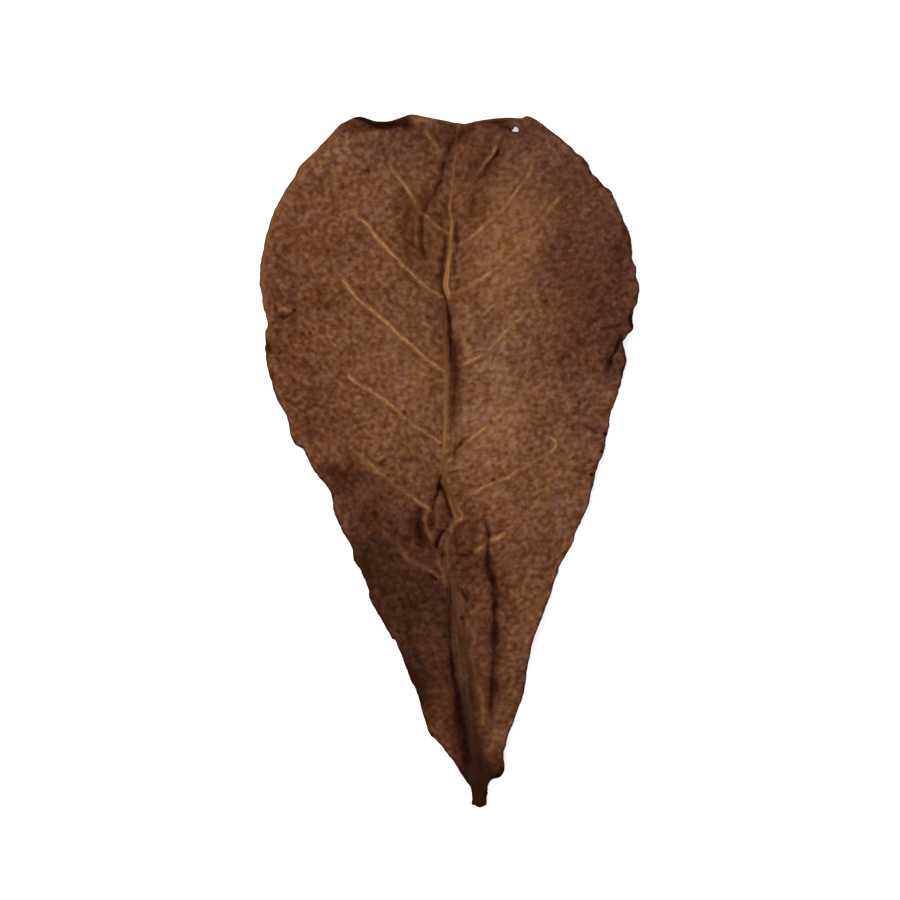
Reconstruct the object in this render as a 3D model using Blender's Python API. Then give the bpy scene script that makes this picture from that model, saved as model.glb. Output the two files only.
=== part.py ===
"""A dried Indian almond leaf, lying face up.

Metres, +Z up. The leaf lies along Y with its stalk at -Y and its tip at +Y. The origin is under the middle of the leaf, on the surface that it lies on.

The blade is one thin closed sheet. Each half arches up from the midrib and comes down to its margin, the margins wave, and the tip curls down and under. The midrib is a thick rib that stands out below, runs out of the blade at the base and ends as a short cut stalk.
"""

import math

import bpy
import numpy as np
from mathutils import Vector
from mathutils.geometry import delaunay_2d_cdt

for item in list(bpy.data.objects):
    bpy.data.objects.remove(item, do_unlink=True)

# ------------------------------------------------------------------ sizes, mm
LEAF_LENGTH = 200.0  # tip crest to the cut end of the stalk
BLADE = 0.45  # thickness of the dried blade
MARGIN_STEP = 2.5  # spacing of the points along the margin
BLADE_STEP = 3.9  # spacing of the points over the blade
CURL_STEP = 1.7  # spacing over the curled tip
RIB_STEP = 3.0  # spacing along the midrib

ARCH_LEFT, ARCH_RIGHT = 0.150, 0.168  # arch height as a share of that half's width
MARGIN_WAVE = 4.6  # how far the margin lifts between the places where it lies down
MARGIN_PRESS = 1.25  # how hard it lies down there
PILLOW = 0.55  # how far the blade stands up between its side veins
CURL_RADIUS = 3.3  # the tip curls under on about this radius
CURL_REACH = 4.6  # how far the blade goes on past the crest of the curl
TIP_REACH = 5.0  # how much further its pointed tip goes, at the midrib
PLEAT = 1.3  # half the height of the fold beside the midrib, near the base
GROOVE = 1.2  # depth of the groove along the right of the midrib
THINNEST = 0.32  # where the blade or rib is pressed flat on the surface

# ------------------------------------------------------------------ plan
# The plan is drawn in steps of a 691.8th of the leaf's length, x to the right and y down from the tip.
STEP = LEAF_LENGTH / 691.8
DATUM = (449.9, 461.7)

LEFT_MARGIN = (
    (338, 127), (326.5, 139.5), (311, 155), (298.5, 167.6), (294.6, 176.5),
    (284.4, 190.6), (275.5, 207), (268, 227.6), (263.4, 250), (260.7, 263.4),
    (260, 283.5), (262, 295.5), (263.4, 307.6), (267.4, 322), (264.7, 333),
    (264.7, 343.7), (266, 361), (268.7, 373), (274, 390.6), (278, 401),
    (284.8, 413.4), (288.8, 422.8), (290.2, 433.5), (295.5, 444), (303.6, 449.5),
    (308.3, 460), (318.4, 477), (329.6, 491), (333.7, 511.6), (341.8, 531),
    (352, 548.4), (354, 560.6), (361, 570.8), (368.4, 589), (370.4, 599.4),
    (381.6, 619.8), (391.8, 638), (395.3, 640.4), (403, 659.5), (409.3, 677.3),
    (416.4, 691.4), (422, 710.5), (425, 720), (429.7, 734.5), (436.7, 741),
    (445, 750.4), (455, 763.7), (461, 774), (467.3, 783), (471, 788.2),
    (473, 799.4), (474.5, 806),
)  # fmt: skip
STALK_END = ((479.6, 807.6), (485.7, 806))
RIGHT_MARGIN = (
    (486.7, 794.3), (487.8, 786), (491.8, 780), (500, 777.4), (503.6, 773),
    (504.6, 766.7), (503.6, 756.5), (505.6, 745.3), (510.2, 731), (513.9, 723),
    (516.3, 715.7), (521.4, 701.4), (524, 693.3), (526, 680), (529.2, 657),
    (534.3, 636.5), (540.8, 619.8), (548, 601.4), (555, 581), (561.2, 563.7),
    (572.4, 544.3), (576.5, 530), (585.7, 511.6), (591.8, 491), (596, 470.8),
    (600, 460), (604, 450.5), (606.8, 436.6), (609.6, 426.8), (610.3, 415.6),
    (613.8, 405.7), (618.7, 391.7), (621.5, 380.5), (624.3, 369.3),
    (626.4, 359.4), (624.3, 351), (622.9, 340.5), (632.8, 328.6), (632.8, 317.4),
    (634.2, 308), (637.7, 303), (638.4, 296), (639.8, 285), (637, 276.4),
    (636.5, 266.7), (633.2, 261), (632.7, 251.5), (631, 240.6), (628.3, 229.8),
    (622.9, 221), (619.7, 210.3), (614.2, 199.4), (610.4, 190.7), (603.4, 186.4),
    (598, 178.8), (591.5, 172.3), (588.2, 163.6), (582.8, 157), (576.3, 152),
    (570.8, 146), (560, 136.5), (553.6, 132),
)  # fmt: skip
CREST = (
    (326.5, 139.5), (338, 127), (348, 120.4), (359.7, 117.3), (375, 121.7),
    (389, 121.7), (403, 118), (412, 115.8), (428.6, 119), (446, 121.7),
    (463, 124.7), (479.6, 121.7), (505, 118.6), (520.4, 119), (528, 116.8),
    (538.3, 121.7), (553.6, 132), (560, 136.5), (570.8, 146),
)  # fmt: skip
CURL_ENDS = (338.0, 558.0)  # the curl runs between these, in plan steps
MIDRIB = (
    (459, 118), (459, 126), (455, 160), (451, 186.6), (450, 211), (451.5, 234),
    (449.6, 253.7), (447.2, 276), (447, 294.4), (445, 315), (446.1, 355),
    (446.5, 390), (445, 427), (443.6, 455), (443.5, 475), (449.6, 493.7),
    (456.5, 512), (453, 531.6), (449, 552), (450.5, 575), (454, 600),
    (458, 640), (463, 680), (468, 720), (473, 750), (478, 775), (480, 795),
    (480, 812),
)  # fmt: skip
SIDE_VEINS = (
    ((441.2, 158.6), (434.9, 146.7), (427.9, 136.8)),
    ((450, 232.5), (428, 218.5), (409, 192), (395.4, 171.4), (389, 148.5)),
    ((446, 297), (418, 283), (392.9, 255.6), (372.4, 232.7), (353.3, 197)),
    ((444.2, 372), (410.7, 343.7), (373.2, 313), (342.4, 280), (305, 250)),
    ((443, 445), (408, 420), (373.2, 393.3), (347.8, 376), (305, 345)),
    ((440, 515), (416.3, 499.4), (375.5, 468.8), (361.2, 458.6), (325, 430)),
    ((449, 584), (426.5, 568.8), (400, 550), (365, 520)),
    ((454, 198), (480.8, 170.4), (498.7, 143)),
    ((454, 246), (479.6, 230), (520.4, 186.7), (530.6, 166)),
    ((450, 293), (490, 274), (533, 230), (558.7, 202), (580, 175)),
    ((450, 371), (489, 348), (525.4, 314.5), (565, 275), (600, 240)),
    ((450, 459), (473.5, 436.6), (505.8, 408.6), (542, 382), (595, 340)),
    ((452, 499), (483.7, 487), (543, 456.5), (590, 420)),
    ((455, 560), (481.6, 548.4), (504, 536), (550, 495)),
)  # fmt: skip
PLEAT_LINE = (
    (484, 505), (489, 535), (488, 560), (492.6, 580), (494.8, 611), (495.2, 640),
    (492.8, 681), (493.5, 723), (492, 745),
)  # fmt: skip

# Height of the midrib along the leaf: (Y, Z) in mm
RIB_HEIGHT = (
    (-101, 1.5), (-92, 1.6), (-78, 2.3), (-60, 2.9), (-40, 2.3), (-18, 1.3),
    (0, 0.9), (25, 0.85), (46, 0.95), (64, 2.0), (80, 3.9), (92, 5.4), (102, 6.0),
)  # fmt: skip
# The rib's half width, and how far it stands up and down from the blade: (Y, half width, up, down)
RIB_SECTION = (
    (-101, 2.0, 1.25, 1.15), (-92, 2.1, 1.25, 1.20), (-84, 3.0, 1.00, 1.40),
    (-70, 2.3, 0.55, 1.50), (-45, 1.6, 0.40, 1.25), (-10, 1.15, 0.30, 1.10),
    (30, 1.0, 0.30, 0.90), (60, 0.9, 0.25, 0.70), (100, 0.7, 0.15, 0.35),
)  # fmt: skip


def plan(points):
    """Plan steps to millimetres about the leaf's middle."""
    p = np.array(points, float)
    return np.stack([(p[:, 0] - DATUM[0]) * STEP, (DATUM[1] - p[:, 1]) * STEP], 1)


def smooth(points, each=8):
    """A Catmull-Rom curve through the points."""
    p = np.array(points, float)
    p = np.vstack([2 * p[0] - p[1], p, 2 * p[-1] - p[-2]])
    t = np.linspace(0, 1, each, endpoint=False)[:, None]
    runs = [
        0.5
        * (
            2 * b
            + (c - a) * t
            + (2 * a - 5 * b + 4 * c - d) * t**2
            + (3 * b - a - 3 * c + d) * t**3
        )
        for a, b, c, d in zip(p, p[1:], p[2:], p[3:])
    ]
    return np.vstack(runs + [p[-2:-1]])


def spaced(line, step):
    """The same line with points an even step apart, its two ends kept."""
    run = np.concatenate([[0], np.cumsum(np.hypot(*np.diff(line, axis=0).T))])
    s = np.linspace(0, run[-1], max(2, round(run[-1] / step) + 1))
    return np.stack([np.interp(s, run, line[:, 0]), np.interp(s, run, line[:, 1])], 1)


def ease(t):
    t = np.clip(t, 0, 1)
    return t * t * (3 - 2 * t)


def nearest(x, y, line):
    """Distance to a line, how far along it the nearest point is (0 to 1), and the side: positive to the right of its run."""
    best = np.full(x.shape, 1e9)
    along, side = np.zeros(x.shape), np.zeros(x.shape)
    lengths = np.hypot(*np.diff(line, axis=0).T)
    before = np.concatenate([[0], np.cumsum(lengths)])
    for k, length in enumerate(lengths):
        d = (line[k + 1] - line[k]) / length
        t = np.clip((x - line[k, 0]) * d[0] + (y - line[k, 1]) * d[1], 0, length)
        ex, ey = x - line[k, 0] - t * d[0], y - line[k, 1] - t * d[1]
        gap = np.hypot(ex, ey)
        closer = gap < best
        best = np.where(closer, gap, best)
        along = np.where(closer, (before[k] + t) / before[-1], along)
        side = np.where(closer, np.sign(ex * d[1] - ey * d[0]), side)
    return best, along, side


LEFT = smooth(plan(LEFT_MARGIN), 4)
RIGHT = smooth(plan(RIGHT_MARGIN), 4)
CREST_LINE = smooth(plan(CREST), 6)
RIB_LINE = smooth(plan(MIDRIB), 6)
VEIN_LINES = [smooth(plan(v), 4) for v in SIDE_VEINS]
PLEAT_RUN = smooth(plan(PLEAT_LINE), 4)
CURL_X = [(x - DATUM[0]) * STEP for x in CURL_ENDS]
RIB_Z = smooth(RIB_HEIGHT, 6)
RIB_S = smooth(RIB_SECTION, 6)


def rib_x(y):
    order = np.argsort(RIB_LINE[:, 1])
    return np.interp(y, RIB_LINE[order, 1], RIB_LINE[order, 0])


def rib_section(y):
    return [np.interp(y, RIB_S[:, 0], RIB_S[:, k]) for k in (1, 2, 3)]


def curl_share(x):
    """1 over most of the curled tip, 0 at both of its ends."""
    u = np.clip((x - CURL_X[0]) / (CURL_X[1] - CURL_X[0]), 0, 1)
    return 1 - (2 * u - 1) ** 4


def crest_y(x):
    return np.interp(x, CREST_LINE[:, 0], CREST_LINE[:, 1])


def curl_radius(x):
    """The curl is tighter at the midrib and at its ends, and looser between them."""
    loose = CURL_RADIUS * (1 + 0.14 * np.sin(x / 7.5 + 0.6))
    return 0.5 + (loose - 0.5) * curl_share(x) * (1 - 0.25 * np.exp(-((x / 7) ** 2)))


def curl_reach(x):
    """How far the blade goes on past the crest: a blunt point at the midrib, with a ragged margin."""
    point = TIP_REACH * np.exp(-((np.abs(x - 1.5) / 13) ** 1.6))
    ragged = 1 + 0.05 * np.sin(x / 1.9) + 0.05 * np.sin(x / 3.4 + 1)
    return (CURL_REACH + point) * curl_share(x) * ragged


def blade_height(x, y):
    """Height of the middle of the blade before its tip curls."""
    q = x - rib_x(y)
    left, _, _ = nearest(x, y, LEFT)
    right, _, _ = nearest(x, y, RIGHT)
    margin = np.where(q < 0, left, right)
    out = np.maximum(np.abs(q) - 0.6 * rib_section(y)[0], 0)
    half = out + margin
    r = out / (half + 1e-6)

    rib = np.interp(y, RIB_Z[:, 0], RIB_Z[:, 1])
    share = np.where(q < 0, ARCH_LEFT, ARCH_RIGHT) * (1 - 0.45 * ease((y - 66) / 34))
    z = rib * (1 - 0.75 * r**2) + share * half * np.sin(math.pi * r**0.9)

    # the margins wave: down on the surface in some places, lifted in others
    wave_left = 0.5 + 0.5 * np.sin(2 * math.pi * (y / 47 + 0.10)) + 0.18 * np.sin(y / 3.1)
    wave_right = (
        0.5 + 0.5 * np.sin(2 * math.pi * (y / 40 + 0.42)) + 0.18 * np.sin(y / 2.7 + 1)
    )
    wave = np.where(q < 0, wave_left, wave_right)
    z = z + (MARGIN_WAVE * wave - MARGIN_PRESS) * r**3 * ease(half / 14)

    # the blade stands up between its side veins
    vein = np.full(x.shape, 1e9)
    for line in VEIN_LINES:
        vein = np.minimum(vein, nearest(x, y, line)[0])
    quiet = ease(np.abs(q) / 8) * ease(margin / 6)
    z = z + PILLOW * (1 - np.exp(-((vein / 5) ** 2))) * quiet

    # slow buckles of the dried blade
    buckle = (
        0.50 * np.sin(0.21 * x + 0.12 * y + 1.3) * np.sin(0.17 * y - 0.10 * x + 0.4)
        + 0.35 * np.sin(0.33 * x - 0.24 * y + 2.1)
        + 0.25 * np.sin(0.47 * y + 0.19 * x)
    )
    z = z + buckle * ease(np.abs(q) / 12) * ease(margin / 8) * ease(half / 18)

    # a groove along the right of the midrib over the middle of the leaf
    run = ease((y - 5) / 8) * ease((50 - y) / 8)
    z = z - GROOVE * np.exp(-(((q - 2.6) / 1.8) ** 2)) * run

    # the fold beside the midrib, near the base: its left lip stands over its right
    gap, along, side = nearest(x, y, PLEAT_RUN)
    off = gap * side
    lip = np.where(off < 0, np.exp(off / 5.5), -0.6 * np.exp(-off / 6.0))
    soft = np.tanh(np.abs(off) / 1.2)
    run = ease(along / 0.18) * ease((1 - along) / 0.2)
    z = z + PLEAT * lip * (0.35 + 0.65 * soft) * run * ease(margin / 5)
    return z


def leaf_point(x, y):
    """Where a point of the flat blade lies once the leaf has dried: it bends past the tip's crest."""
    crest = crest_y(x)
    radius = curl_radius(x)
    radius = np.minimum(radius, 0.5 * (blade_height(x, crest - radius) - 0.9))
    radius = np.maximum(radius, 0.45)
    bend = np.where((x > CURL_X[0]) & (x < CURL_X[1]), crest - radius, 1e3)
    z = blade_height(x, np.minimum(y, bend))
    turn = np.maximum(y - bend, 0) / radius
    past = y > bend
    return (
        x,
        np.where(past, bend + radius * np.sin(turn), y),
        np.where(past, z - radius * (1 - np.cos(turn)), z),
    )


def flat_outline():
    """The margin of the flat blade, anticlockwise from the left end of the curl."""
    side = spaced(np.vstack([LEFT, plan(STALK_END), RIGHT]), MARGIN_STEP)
    top = np.linspace(RIGHT[-1, 0], LEFT[0, 0], 160)
    tip = spaced(np.stack([top, crest_y(top) + curl_reach(top)], 1), 2.0)
    return np.vstack([side, tip[1:-1]])


def inside(points, outline):
    x, y = points[:, 0], points[:, 1]
    found = np.zeros(len(points), bool)
    for a, b in zip(outline, np.roll(outline, -1, axis=0)):
        if a[1] == b[1]:
            continue
        across = (a[1] > y) != (b[1] > y)
        found ^= across & (x < (b[0] - a[0]) * (y - a[1]) / (b[1] - a[1]) + a[0])
    return found


def hexagonal(step, low, high):
    rows = np.arange(low[1], high[1], step * math.sqrt(3) / 2)
    columns = np.arange(low[0], high[0], step)
    x, y = np.meshgrid(columns, rows)
    x = x + 0.5 * step * (np.arange(len(rows)) % 2)[:, None]
    return np.stack([x.ravel(), y.ravel()], 1)


def flat_mesh():
    """Points and triangles of the flat blade, and its outline's length in points."""
    outline = flat_outline()
    closed = np.vstack([outline, outline[:1]])
    rib_y = np.arange(-98.5, 97.5, RIB_STEP)
    width = np.maximum(rib_section(rib_y)[0], 0.8)
    ribs = [
        np.stack([rib_x(rib_y + shift) + k * width, rib_y + shift], 1)
        for k, shift in ((0, 0), (-0.5, 0), (0.5, 0), (-1, 0), (1, 0))
    ]
    ribs = [r[inside(r, outline) & (nearest(r[:, 0], r[:, 1], closed)[0] > 0.7)] for r in ribs]
    rib_points = np.vstack(ribs)

    low, high = outline.min(axis=0), outline.max(axis=0)
    coarse = hexagonal(BLADE_STEP, low, high)
    fine = hexagonal(CURL_STEP, low, high)

    def past_bend(p, by):
        edge = crest_y(p[:, 0]) - curl_radius(p[:, 0]) - by
        return (p[:, 1] > edge) & (p[:, 0] > CURL_X[0]) & (p[:, 0] < CURL_X[1])

    coarse = coarse[~past_bend(coarse, 2.2)]
    fine = fine[past_bend(fine, 0.6)]
    kept = []
    for cloud, step in ((coarse, BLADE_STEP), (fine, CURL_STEP)):
        cloud = cloud[inside(cloud, outline)]
        margin = nearest(cloud[:, 0], cloud[:, 1], closed)[0]
        cloud = cloud[margin > 0.55 * step]
        apart = np.min(
            np.hypot(
                cloud[:, None, 0] - rib_points[None, :, 0],
                cloud[:, None, 1] - rib_points[None, :, 1],
            ),
            axis=1,
        )
        kept.append(cloud[apart > 0.62 * step])
    points = np.vstack([outline, rib_points] + kept)

    vertices, _, faces, came_from, _, _ = delaunay_2d_cdt(
        [Vector(p) for p in points], [], [list(range(len(outline)))], 1, 1e-6
    )
    place = {olds[0]: new for new, olds in enumerate(came_from) if olds}
    border = [place[k] for k in range(len(outline))]
    flat = np.array([v[:] for v in vertices])
    return flat, [list(f) for f in faces], border


def leaf_mesh():
    flat, faces, border = flat_mesh()
    x, y = flat[:, 0], flat[:, 1]
    middle = np.stack(leaf_point(x, y), 1)
    tri = np.array(faces)

    # the blade's own upward direction at each point
    a, b, c = (middle[tri[:, k]] for k in range(3))
    flat_area = np.cross(flat[tri[:, 1]] - flat[tri[:, 0]], flat[tri[:, 2]] - flat[tri[:, 0]])
    tri[flat_area < 0] = tri[flat_area < 0][:, ::-1]
    a, b, c = (middle[tri[:, k]] for k in range(3))
    facing = np.cross(b - a, c - a)
    normal = np.zeros_like(middle)
    for k in range(3):
        np.add.at(normal, tri[:, k], facing)
    normal /= np.linalg.norm(normal, axis=1)[:, None]

    q = x - rib_x(y)
    width, up, down = rib_section(y)
    round_off = np.sqrt(np.clip(1 - (q / (width * 1.02)) ** 2, 0, 1))
    upper = middle + normal * (BLADE / 2 + up * round_off)[:, None]
    lower = middle - normal * (BLADE / 2 + down * round_off)[:, None]

    # whatever would sink into the surface is pressed flat on it, and the curl is lifted clear
    curled = y > crest_y(x) - curl_radius(x) - 0.5
    lift = np.maximum(0, -np.minimum(lower[:, 2], upper[:, 2]))
    lower[:, 2] = np.where(curled, lower[:, 2] + lift, np.maximum(lower[:, 2], 0))
    upper[:, 2] = np.where(
        curled, upper[:, 2] + lift, np.maximum(upper[:, 2], lower[:, 2] + THINNEST)
    )

    n = len(flat)
    ring = [(border[k], border[(k + 1) % len(border)]) for k in range(len(border))]
    area = sum(flat[i, 0] * flat[j, 1] - flat[j, 0] * flat[i, 1] for i, j in ring)
    if area < 0:
        ring = [(j, i) for i, j in ring]
    walls = [(j, i, i + n) for i, j in ring] + [(j, i + n, j + n) for i, j in ring]
    return (
        np.vstack([upper, lower]),
        [tuple(t) for t in tri.tolist()]
        + [(k + n, j + n, i + n) for i, j, k in tri.tolist()]
        + walls,
    )


points, triangles = leaf_mesh()
mesh = bpy.data.meshes.new("leaf")
mesh.from_pydata((points / 1000).tolist(), [], triangles)
mesh.validate()
mesh.shade_smooth()
mesh.set_sharp_from_angle(angle=math.radians(50))

leaf = bpy.data.objects.new("leaf", mesh)
bpy.context.scene.collection.objects.link(leaf)

dried_blade = bpy.data.materials.new("dried_leaf")
dried_blade.use_nodes = True
shader = dried_blade.node_tree.nodes["Principled BSDF"]
shader.inputs["Base Color"].default_value = (0.155, 0.062, 0.027, 1.0)
shader.inputs["Roughness"].default_value = 0.68
shader.inputs["Metallic"].default_value = 0.0
mesh.materials.append(dried_blade)
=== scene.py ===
"""The looks of a dried Indian almond leaf that lies face up on a pale floor."""

import math

import bpy
import numpy as np
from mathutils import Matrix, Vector
from mathutils.geometry import delaunay_2d_cdt


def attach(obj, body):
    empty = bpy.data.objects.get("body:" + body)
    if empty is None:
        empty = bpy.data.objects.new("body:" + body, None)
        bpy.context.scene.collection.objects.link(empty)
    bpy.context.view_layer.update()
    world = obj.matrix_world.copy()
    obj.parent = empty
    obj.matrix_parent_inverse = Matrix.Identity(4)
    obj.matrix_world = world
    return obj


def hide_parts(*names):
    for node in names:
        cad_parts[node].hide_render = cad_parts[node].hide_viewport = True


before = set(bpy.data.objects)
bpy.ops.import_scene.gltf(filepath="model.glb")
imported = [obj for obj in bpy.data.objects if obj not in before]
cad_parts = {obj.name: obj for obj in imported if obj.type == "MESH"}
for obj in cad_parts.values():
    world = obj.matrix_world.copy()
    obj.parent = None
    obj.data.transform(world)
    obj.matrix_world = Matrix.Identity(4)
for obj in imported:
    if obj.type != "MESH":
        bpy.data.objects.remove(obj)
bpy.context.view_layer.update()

# ------------------------------------------------------------------ sizes, mm
LEAF_LENGTH = 200.0
BLADE = 0.42  # thickness of the blade, and at its margin
RIM = 0.30
UPPER_STEP, LOWER_STEP, MARGIN_STEP = 0.50, 0.90, 0.55

ARCH_LEFT, ARCH_RIGHT = 0.150, 0.168
MARGIN_WAVE = 4.6
MARGIN_PRESS = 1.25
PILLOW = 0.55
CURL_RADIUS = 3.3
CURL_REACH = 4.6
TIP_REACH = 5.0
PLEAT = 1.3
GROOVE = 1.2
THINNEST = 0.32
SETTLE = 0.85  # how softly the margin meets the floor, in mm

STEP = LEAF_LENGTH / 691.8  # the plan below is drawn in these steps, x to the right and y down
DATUM = (449.9, 461.7)

LEFT_MARGIN = (
    (338, 127), (326.5, 139.5), (311, 155), (298.5, 167.6), (294.6, 176.5),
    (284.4, 190.6), (275.5, 207), (268, 227.6), (263.4, 250), (260.7, 263.4),
    (260, 283.5), (262, 295.5), (263.4, 307.6), (267.4, 322), (264.7, 333),
    (264.7, 343.7), (266, 361), (268.7, 373), (274, 390.6), (278, 401),
    (284.8, 413.4), (288.8, 422.8), (290.2, 433.5), (295.5, 444), (303.6, 449.5),
    (308.3, 460), (318.4, 477), (329.6, 491), (333.7, 511.6), (341.8, 531),
    (352, 548.4), (354, 560.6), (361, 570.8), (368.4, 589), (370.4, 599.4),
    (381.6, 619.8), (391.8, 638), (395.3, 640.4), (403, 659.5), (409.3, 677.3),
    (416.4, 691.4), (422, 710.5), (425, 720), (429.7, 734.5), (436.7, 741),
    (445, 750.4), (455, 763.7), (461, 774), (467.3, 783), (471, 788.2),
    (473, 799.4), (474.5, 806),
)  # fmt: skip
STALK_END = ((479.6, 807.6), (485.7, 806))
RIGHT_MARGIN = (
    (486.7, 794.3), (487.8, 786), (491.8, 780), (500, 777.4), (503.6, 773),
    (504.6, 766.7), (503.6, 756.5), (505.6, 745.3), (510.2, 731), (513.9, 723),
    (516.3, 715.7), (521.4, 701.4), (524, 693.3), (526, 680), (529.2, 657),
    (534.3, 636.5), (540.8, 619.8), (548, 601.4), (555, 581), (561.2, 563.7),
    (572.4, 544.3), (576.5, 530), (585.7, 511.6), (591.8, 491), (596, 470.8),
    (600, 460), (604, 450.5), (606.8, 436.6), (609.6, 426.8), (610.3, 415.6),
    (613.8, 405.7), (618.7, 391.7), (621.5, 380.5), (624.3, 369.3),
    (626.4, 359.4), (624.3, 351), (622.9, 340.5), (632.8, 328.6), (632.8, 317.4),
    (634.2, 308), (637.7, 303), (638.4, 296), (639.8, 285), (637, 276.4),
    (636.5, 266.7), (633.2, 261), (632.7, 251.5), (631, 240.6), (628.3, 229.8),
    (622.9, 221), (619.7, 210.3), (614.2, 199.4), (610.4, 190.7), (603.4, 186.4),
    (598, 178.8), (591.5, 172.3), (588.2, 163.6), (582.8, 157), (576.3, 152),
    (570.8, 146), (560, 136.5), (553.6, 132),
)  # fmt: skip
CREST = (
    (326.5, 139.5), (338, 127), (348, 121.3), (359.7, 118), (375, 122.2),
    (389, 122.4), (403, 118.4), (412, 116), (428.6, 119), (446, 121.7),
    (463, 124.7), (479.6, 121.7), (505, 118.6), (520.4, 119), (528, 116.8),
    (538.3, 121.7), (553.6, 132), (560, 136.5), (570.8, 146),
)  # fmt: skip
CURL_ENDS = (338.0, 558.0)
HOLE = ((511.4, 132.0), (513.2, 129.4), (515.2, 126.6), (517.0, 128.2), (518.9, 131.4), (515.4, 132.8))
MIDRIB = (
    (459, 118), (458, 126), (454.5, 160), (452, 186.6), (450.8, 200), (449.4, 210),
    (452, 222), (451.2, 233), (450.2, 250), (448, 266), (446.6, 277), (446, 286), (448.2, 294.4), (446.4, 304),
    (445, 318), (446.1, 355),
    (446.5, 390), (445, 427), (443.6, 455), (443.5, 475), (449.6, 493.7),
    (456.5, 512), (453, 531.6), (449, 552), (450.5, 575), (454, 600),
    (458, 640), (463, 680), (468, 720), (473, 750), (478, 775), (480, 795),
    (480, 812),
)  # fmt: skip
# Side veins from the midrib outwards: x, y and how strongly the vein stands out there
SIDE_VEINS = (
    ((445, 163, 0.1), (442.5, 157, 0.4), (437, 148.5, 0.6), (432.5, 142, 0.45), (428, 136.8, 0.6), (422, 127, 0.2)),
    ((449, 234, 0.9), (443.5, 231, 0.55), (437, 227, 0.8), (432, 222.5, 0.4), (426, 217, 0.85), (418, 212, 0.5), (414.4, 202, 0.6),
     (408, 191.6, 1.0), (400.4, 181.4, 0.8), (391.5, 168.7, 0.55), (390.5, 152, 0.35), (386, 137, 0.1)),
    ((444, 297, 0.7), (438.7, 295, 0.8), (424.6, 286, 0.75), (408, 270.7, 1.0), (389, 251.6, 1.05), (373.6, 235, 0.95), (366, 224.5, 0.9),
     (357.5, 218, 0.45), (354.5, 207, 0.15), (352.5, 197, 0.5), (343, 178, 0.0)),
    ((444.5, 372, 0.8), (436, 366, 0.95), (425.8, 358.7, 1.0), (413, 347, 1.0), (397.8, 334.4, 1.2), (388.8, 325.5, 0.85), (374.8, 312.8, 0.8),
     (360.8, 302, 0.6), (353.2, 293.7, 1.0), (346.8, 284.8, 1.0), (341.7, 278, 0.45), (322, 258, 0.1), (304, 235, 0.3), (296, 222, 0.0)),
    ((441.5, 444, 0.5), (437.6, 441.2, 1.0), (429.6, 435, 0.75), (415.6, 427, 0.8), (400.3, 413.5, 0.65), (392.7, 407, 0.85), (383.7, 399.5, 1.0),
     (372.2, 391.8, 0.8), (360.8, 385, 0.65), (350.6, 377.8, 0.95), (347, 373, 0.3), (325, 357, 0.05)),
    ((431.5, 512, 0.9), (428, 508.6, 1.0), (421.8, 504.3, 0.85), (411.4, 496.4, 0.7), (400.3, 488.4, 0.5), (387.6, 478.6, 0.5), (377.3, 471, 0.8),
     (371.6, 464.5, 0.75), (361, 456.5, 0.5), (340, 441, 0.0)),
    ((444, 580, 0.5), (439, 577, 0.7), (432, 571.8, 0.75), (421.8, 566.7, 0.55), (411.6, 560.6, 0.5), (405.5, 556.5, 0.65), (400, 547, 0.35),
     (391, 538, 0.35), (377, 525, 0.3), (362, 514, 0.0)),
    ((452.8, 191.6, 0.35), (463, 186.5, 0.5), (470.6, 182.7, 0.4), (480.8, 171.2, 0.85), (487.2, 162.3, 0.9), (493.6, 153.4, 0.9), (495.3, 143.2, 0.6),
     (498.7, 136.8, 0.6), (505, 129, 0.1)),
    ((457.9, 246.5, 0.6), (470.6, 238.8, 0.6), (480.8, 230, 0.95), (489.7, 222.2, 0.6), (501.2, 212, 0.6), (511.4, 199.3, 0.9), (519, 187.8, 0.65),
     (526.7, 180, 0.6), (530.6, 170, 0.55), (532.5, 160, 0.35), (539, 147, 0.0)),
    ((452, 293, 0.45), (460, 291, 0.45), (469.3, 287.3, 0.6), (478.3, 282.2, 0.7), (487.2, 275.8, 1.2), (492.3, 272, 0.8), (501, 265.6, 0.5),
     (511.4, 255.4, 0.7), (515, 251.6, 0.65), (523, 243, 0.5), (533, 232.4, 0.6), (542, 219.7, 0.42), (553.5, 205.7, 0.74), (562.4, 196.7, 0.62), (576, 182, 0.0)),
    ((453, 370.5, 0.2), (460, 366.5, 0.5), (468, 362.5, 1.1), (478.3, 357.4, 0.75), (487.2, 351, 0.65), (494.8, 344.6, 0.65), (503.8, 334.4, 0.95),
     (511.4, 326.8, 0.5), (523, 316.6, 0.7), (534, 306, 0.2), (556, 286, 0.0)),
    ((447, 464, 0.4), (452.8, 457, 0.8), (463, 444.5, 0.5), (473.2, 437.8, 0.8), (483.4, 428.8, 0.8), (491, 422.4, 0.6), (498.7, 417.3, 0.85),
     (506.3, 409.7, 0.7), (515.3, 405.9, 0.5), (527, 398, 0.3), (541, 385, 0.6), (552, 376, 0.0)),
    ((455, 498.5, 0.3), (470.4, 494.7, 0.5), (481.6, 488.6, 0.9), (491.8, 483.5, 0.6), (502, 479.4, 0.65), (510.2, 475.3, 1.0), (516.3, 471.2, 0.65),
     (526.7, 465.8, 0.5), (539.5, 458, 0.6), (548.4, 453, 0.6), (554.4, 447.5, 0.9), (555, 442, 0.95), (552, 438.5, 0.8), (547, 437, 0.3)),
    ((462, 556.5, 0.2), (471.4, 552.9, 0.65), (479.6, 548.8, 0.85), (486.7, 543.7, 0.5), (492.9, 539.6, 1.3), (498, 537.4, 1.1), (504, 533.6, 0.7), (512, 529, 0.0)),
)  # fmt: skip
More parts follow.
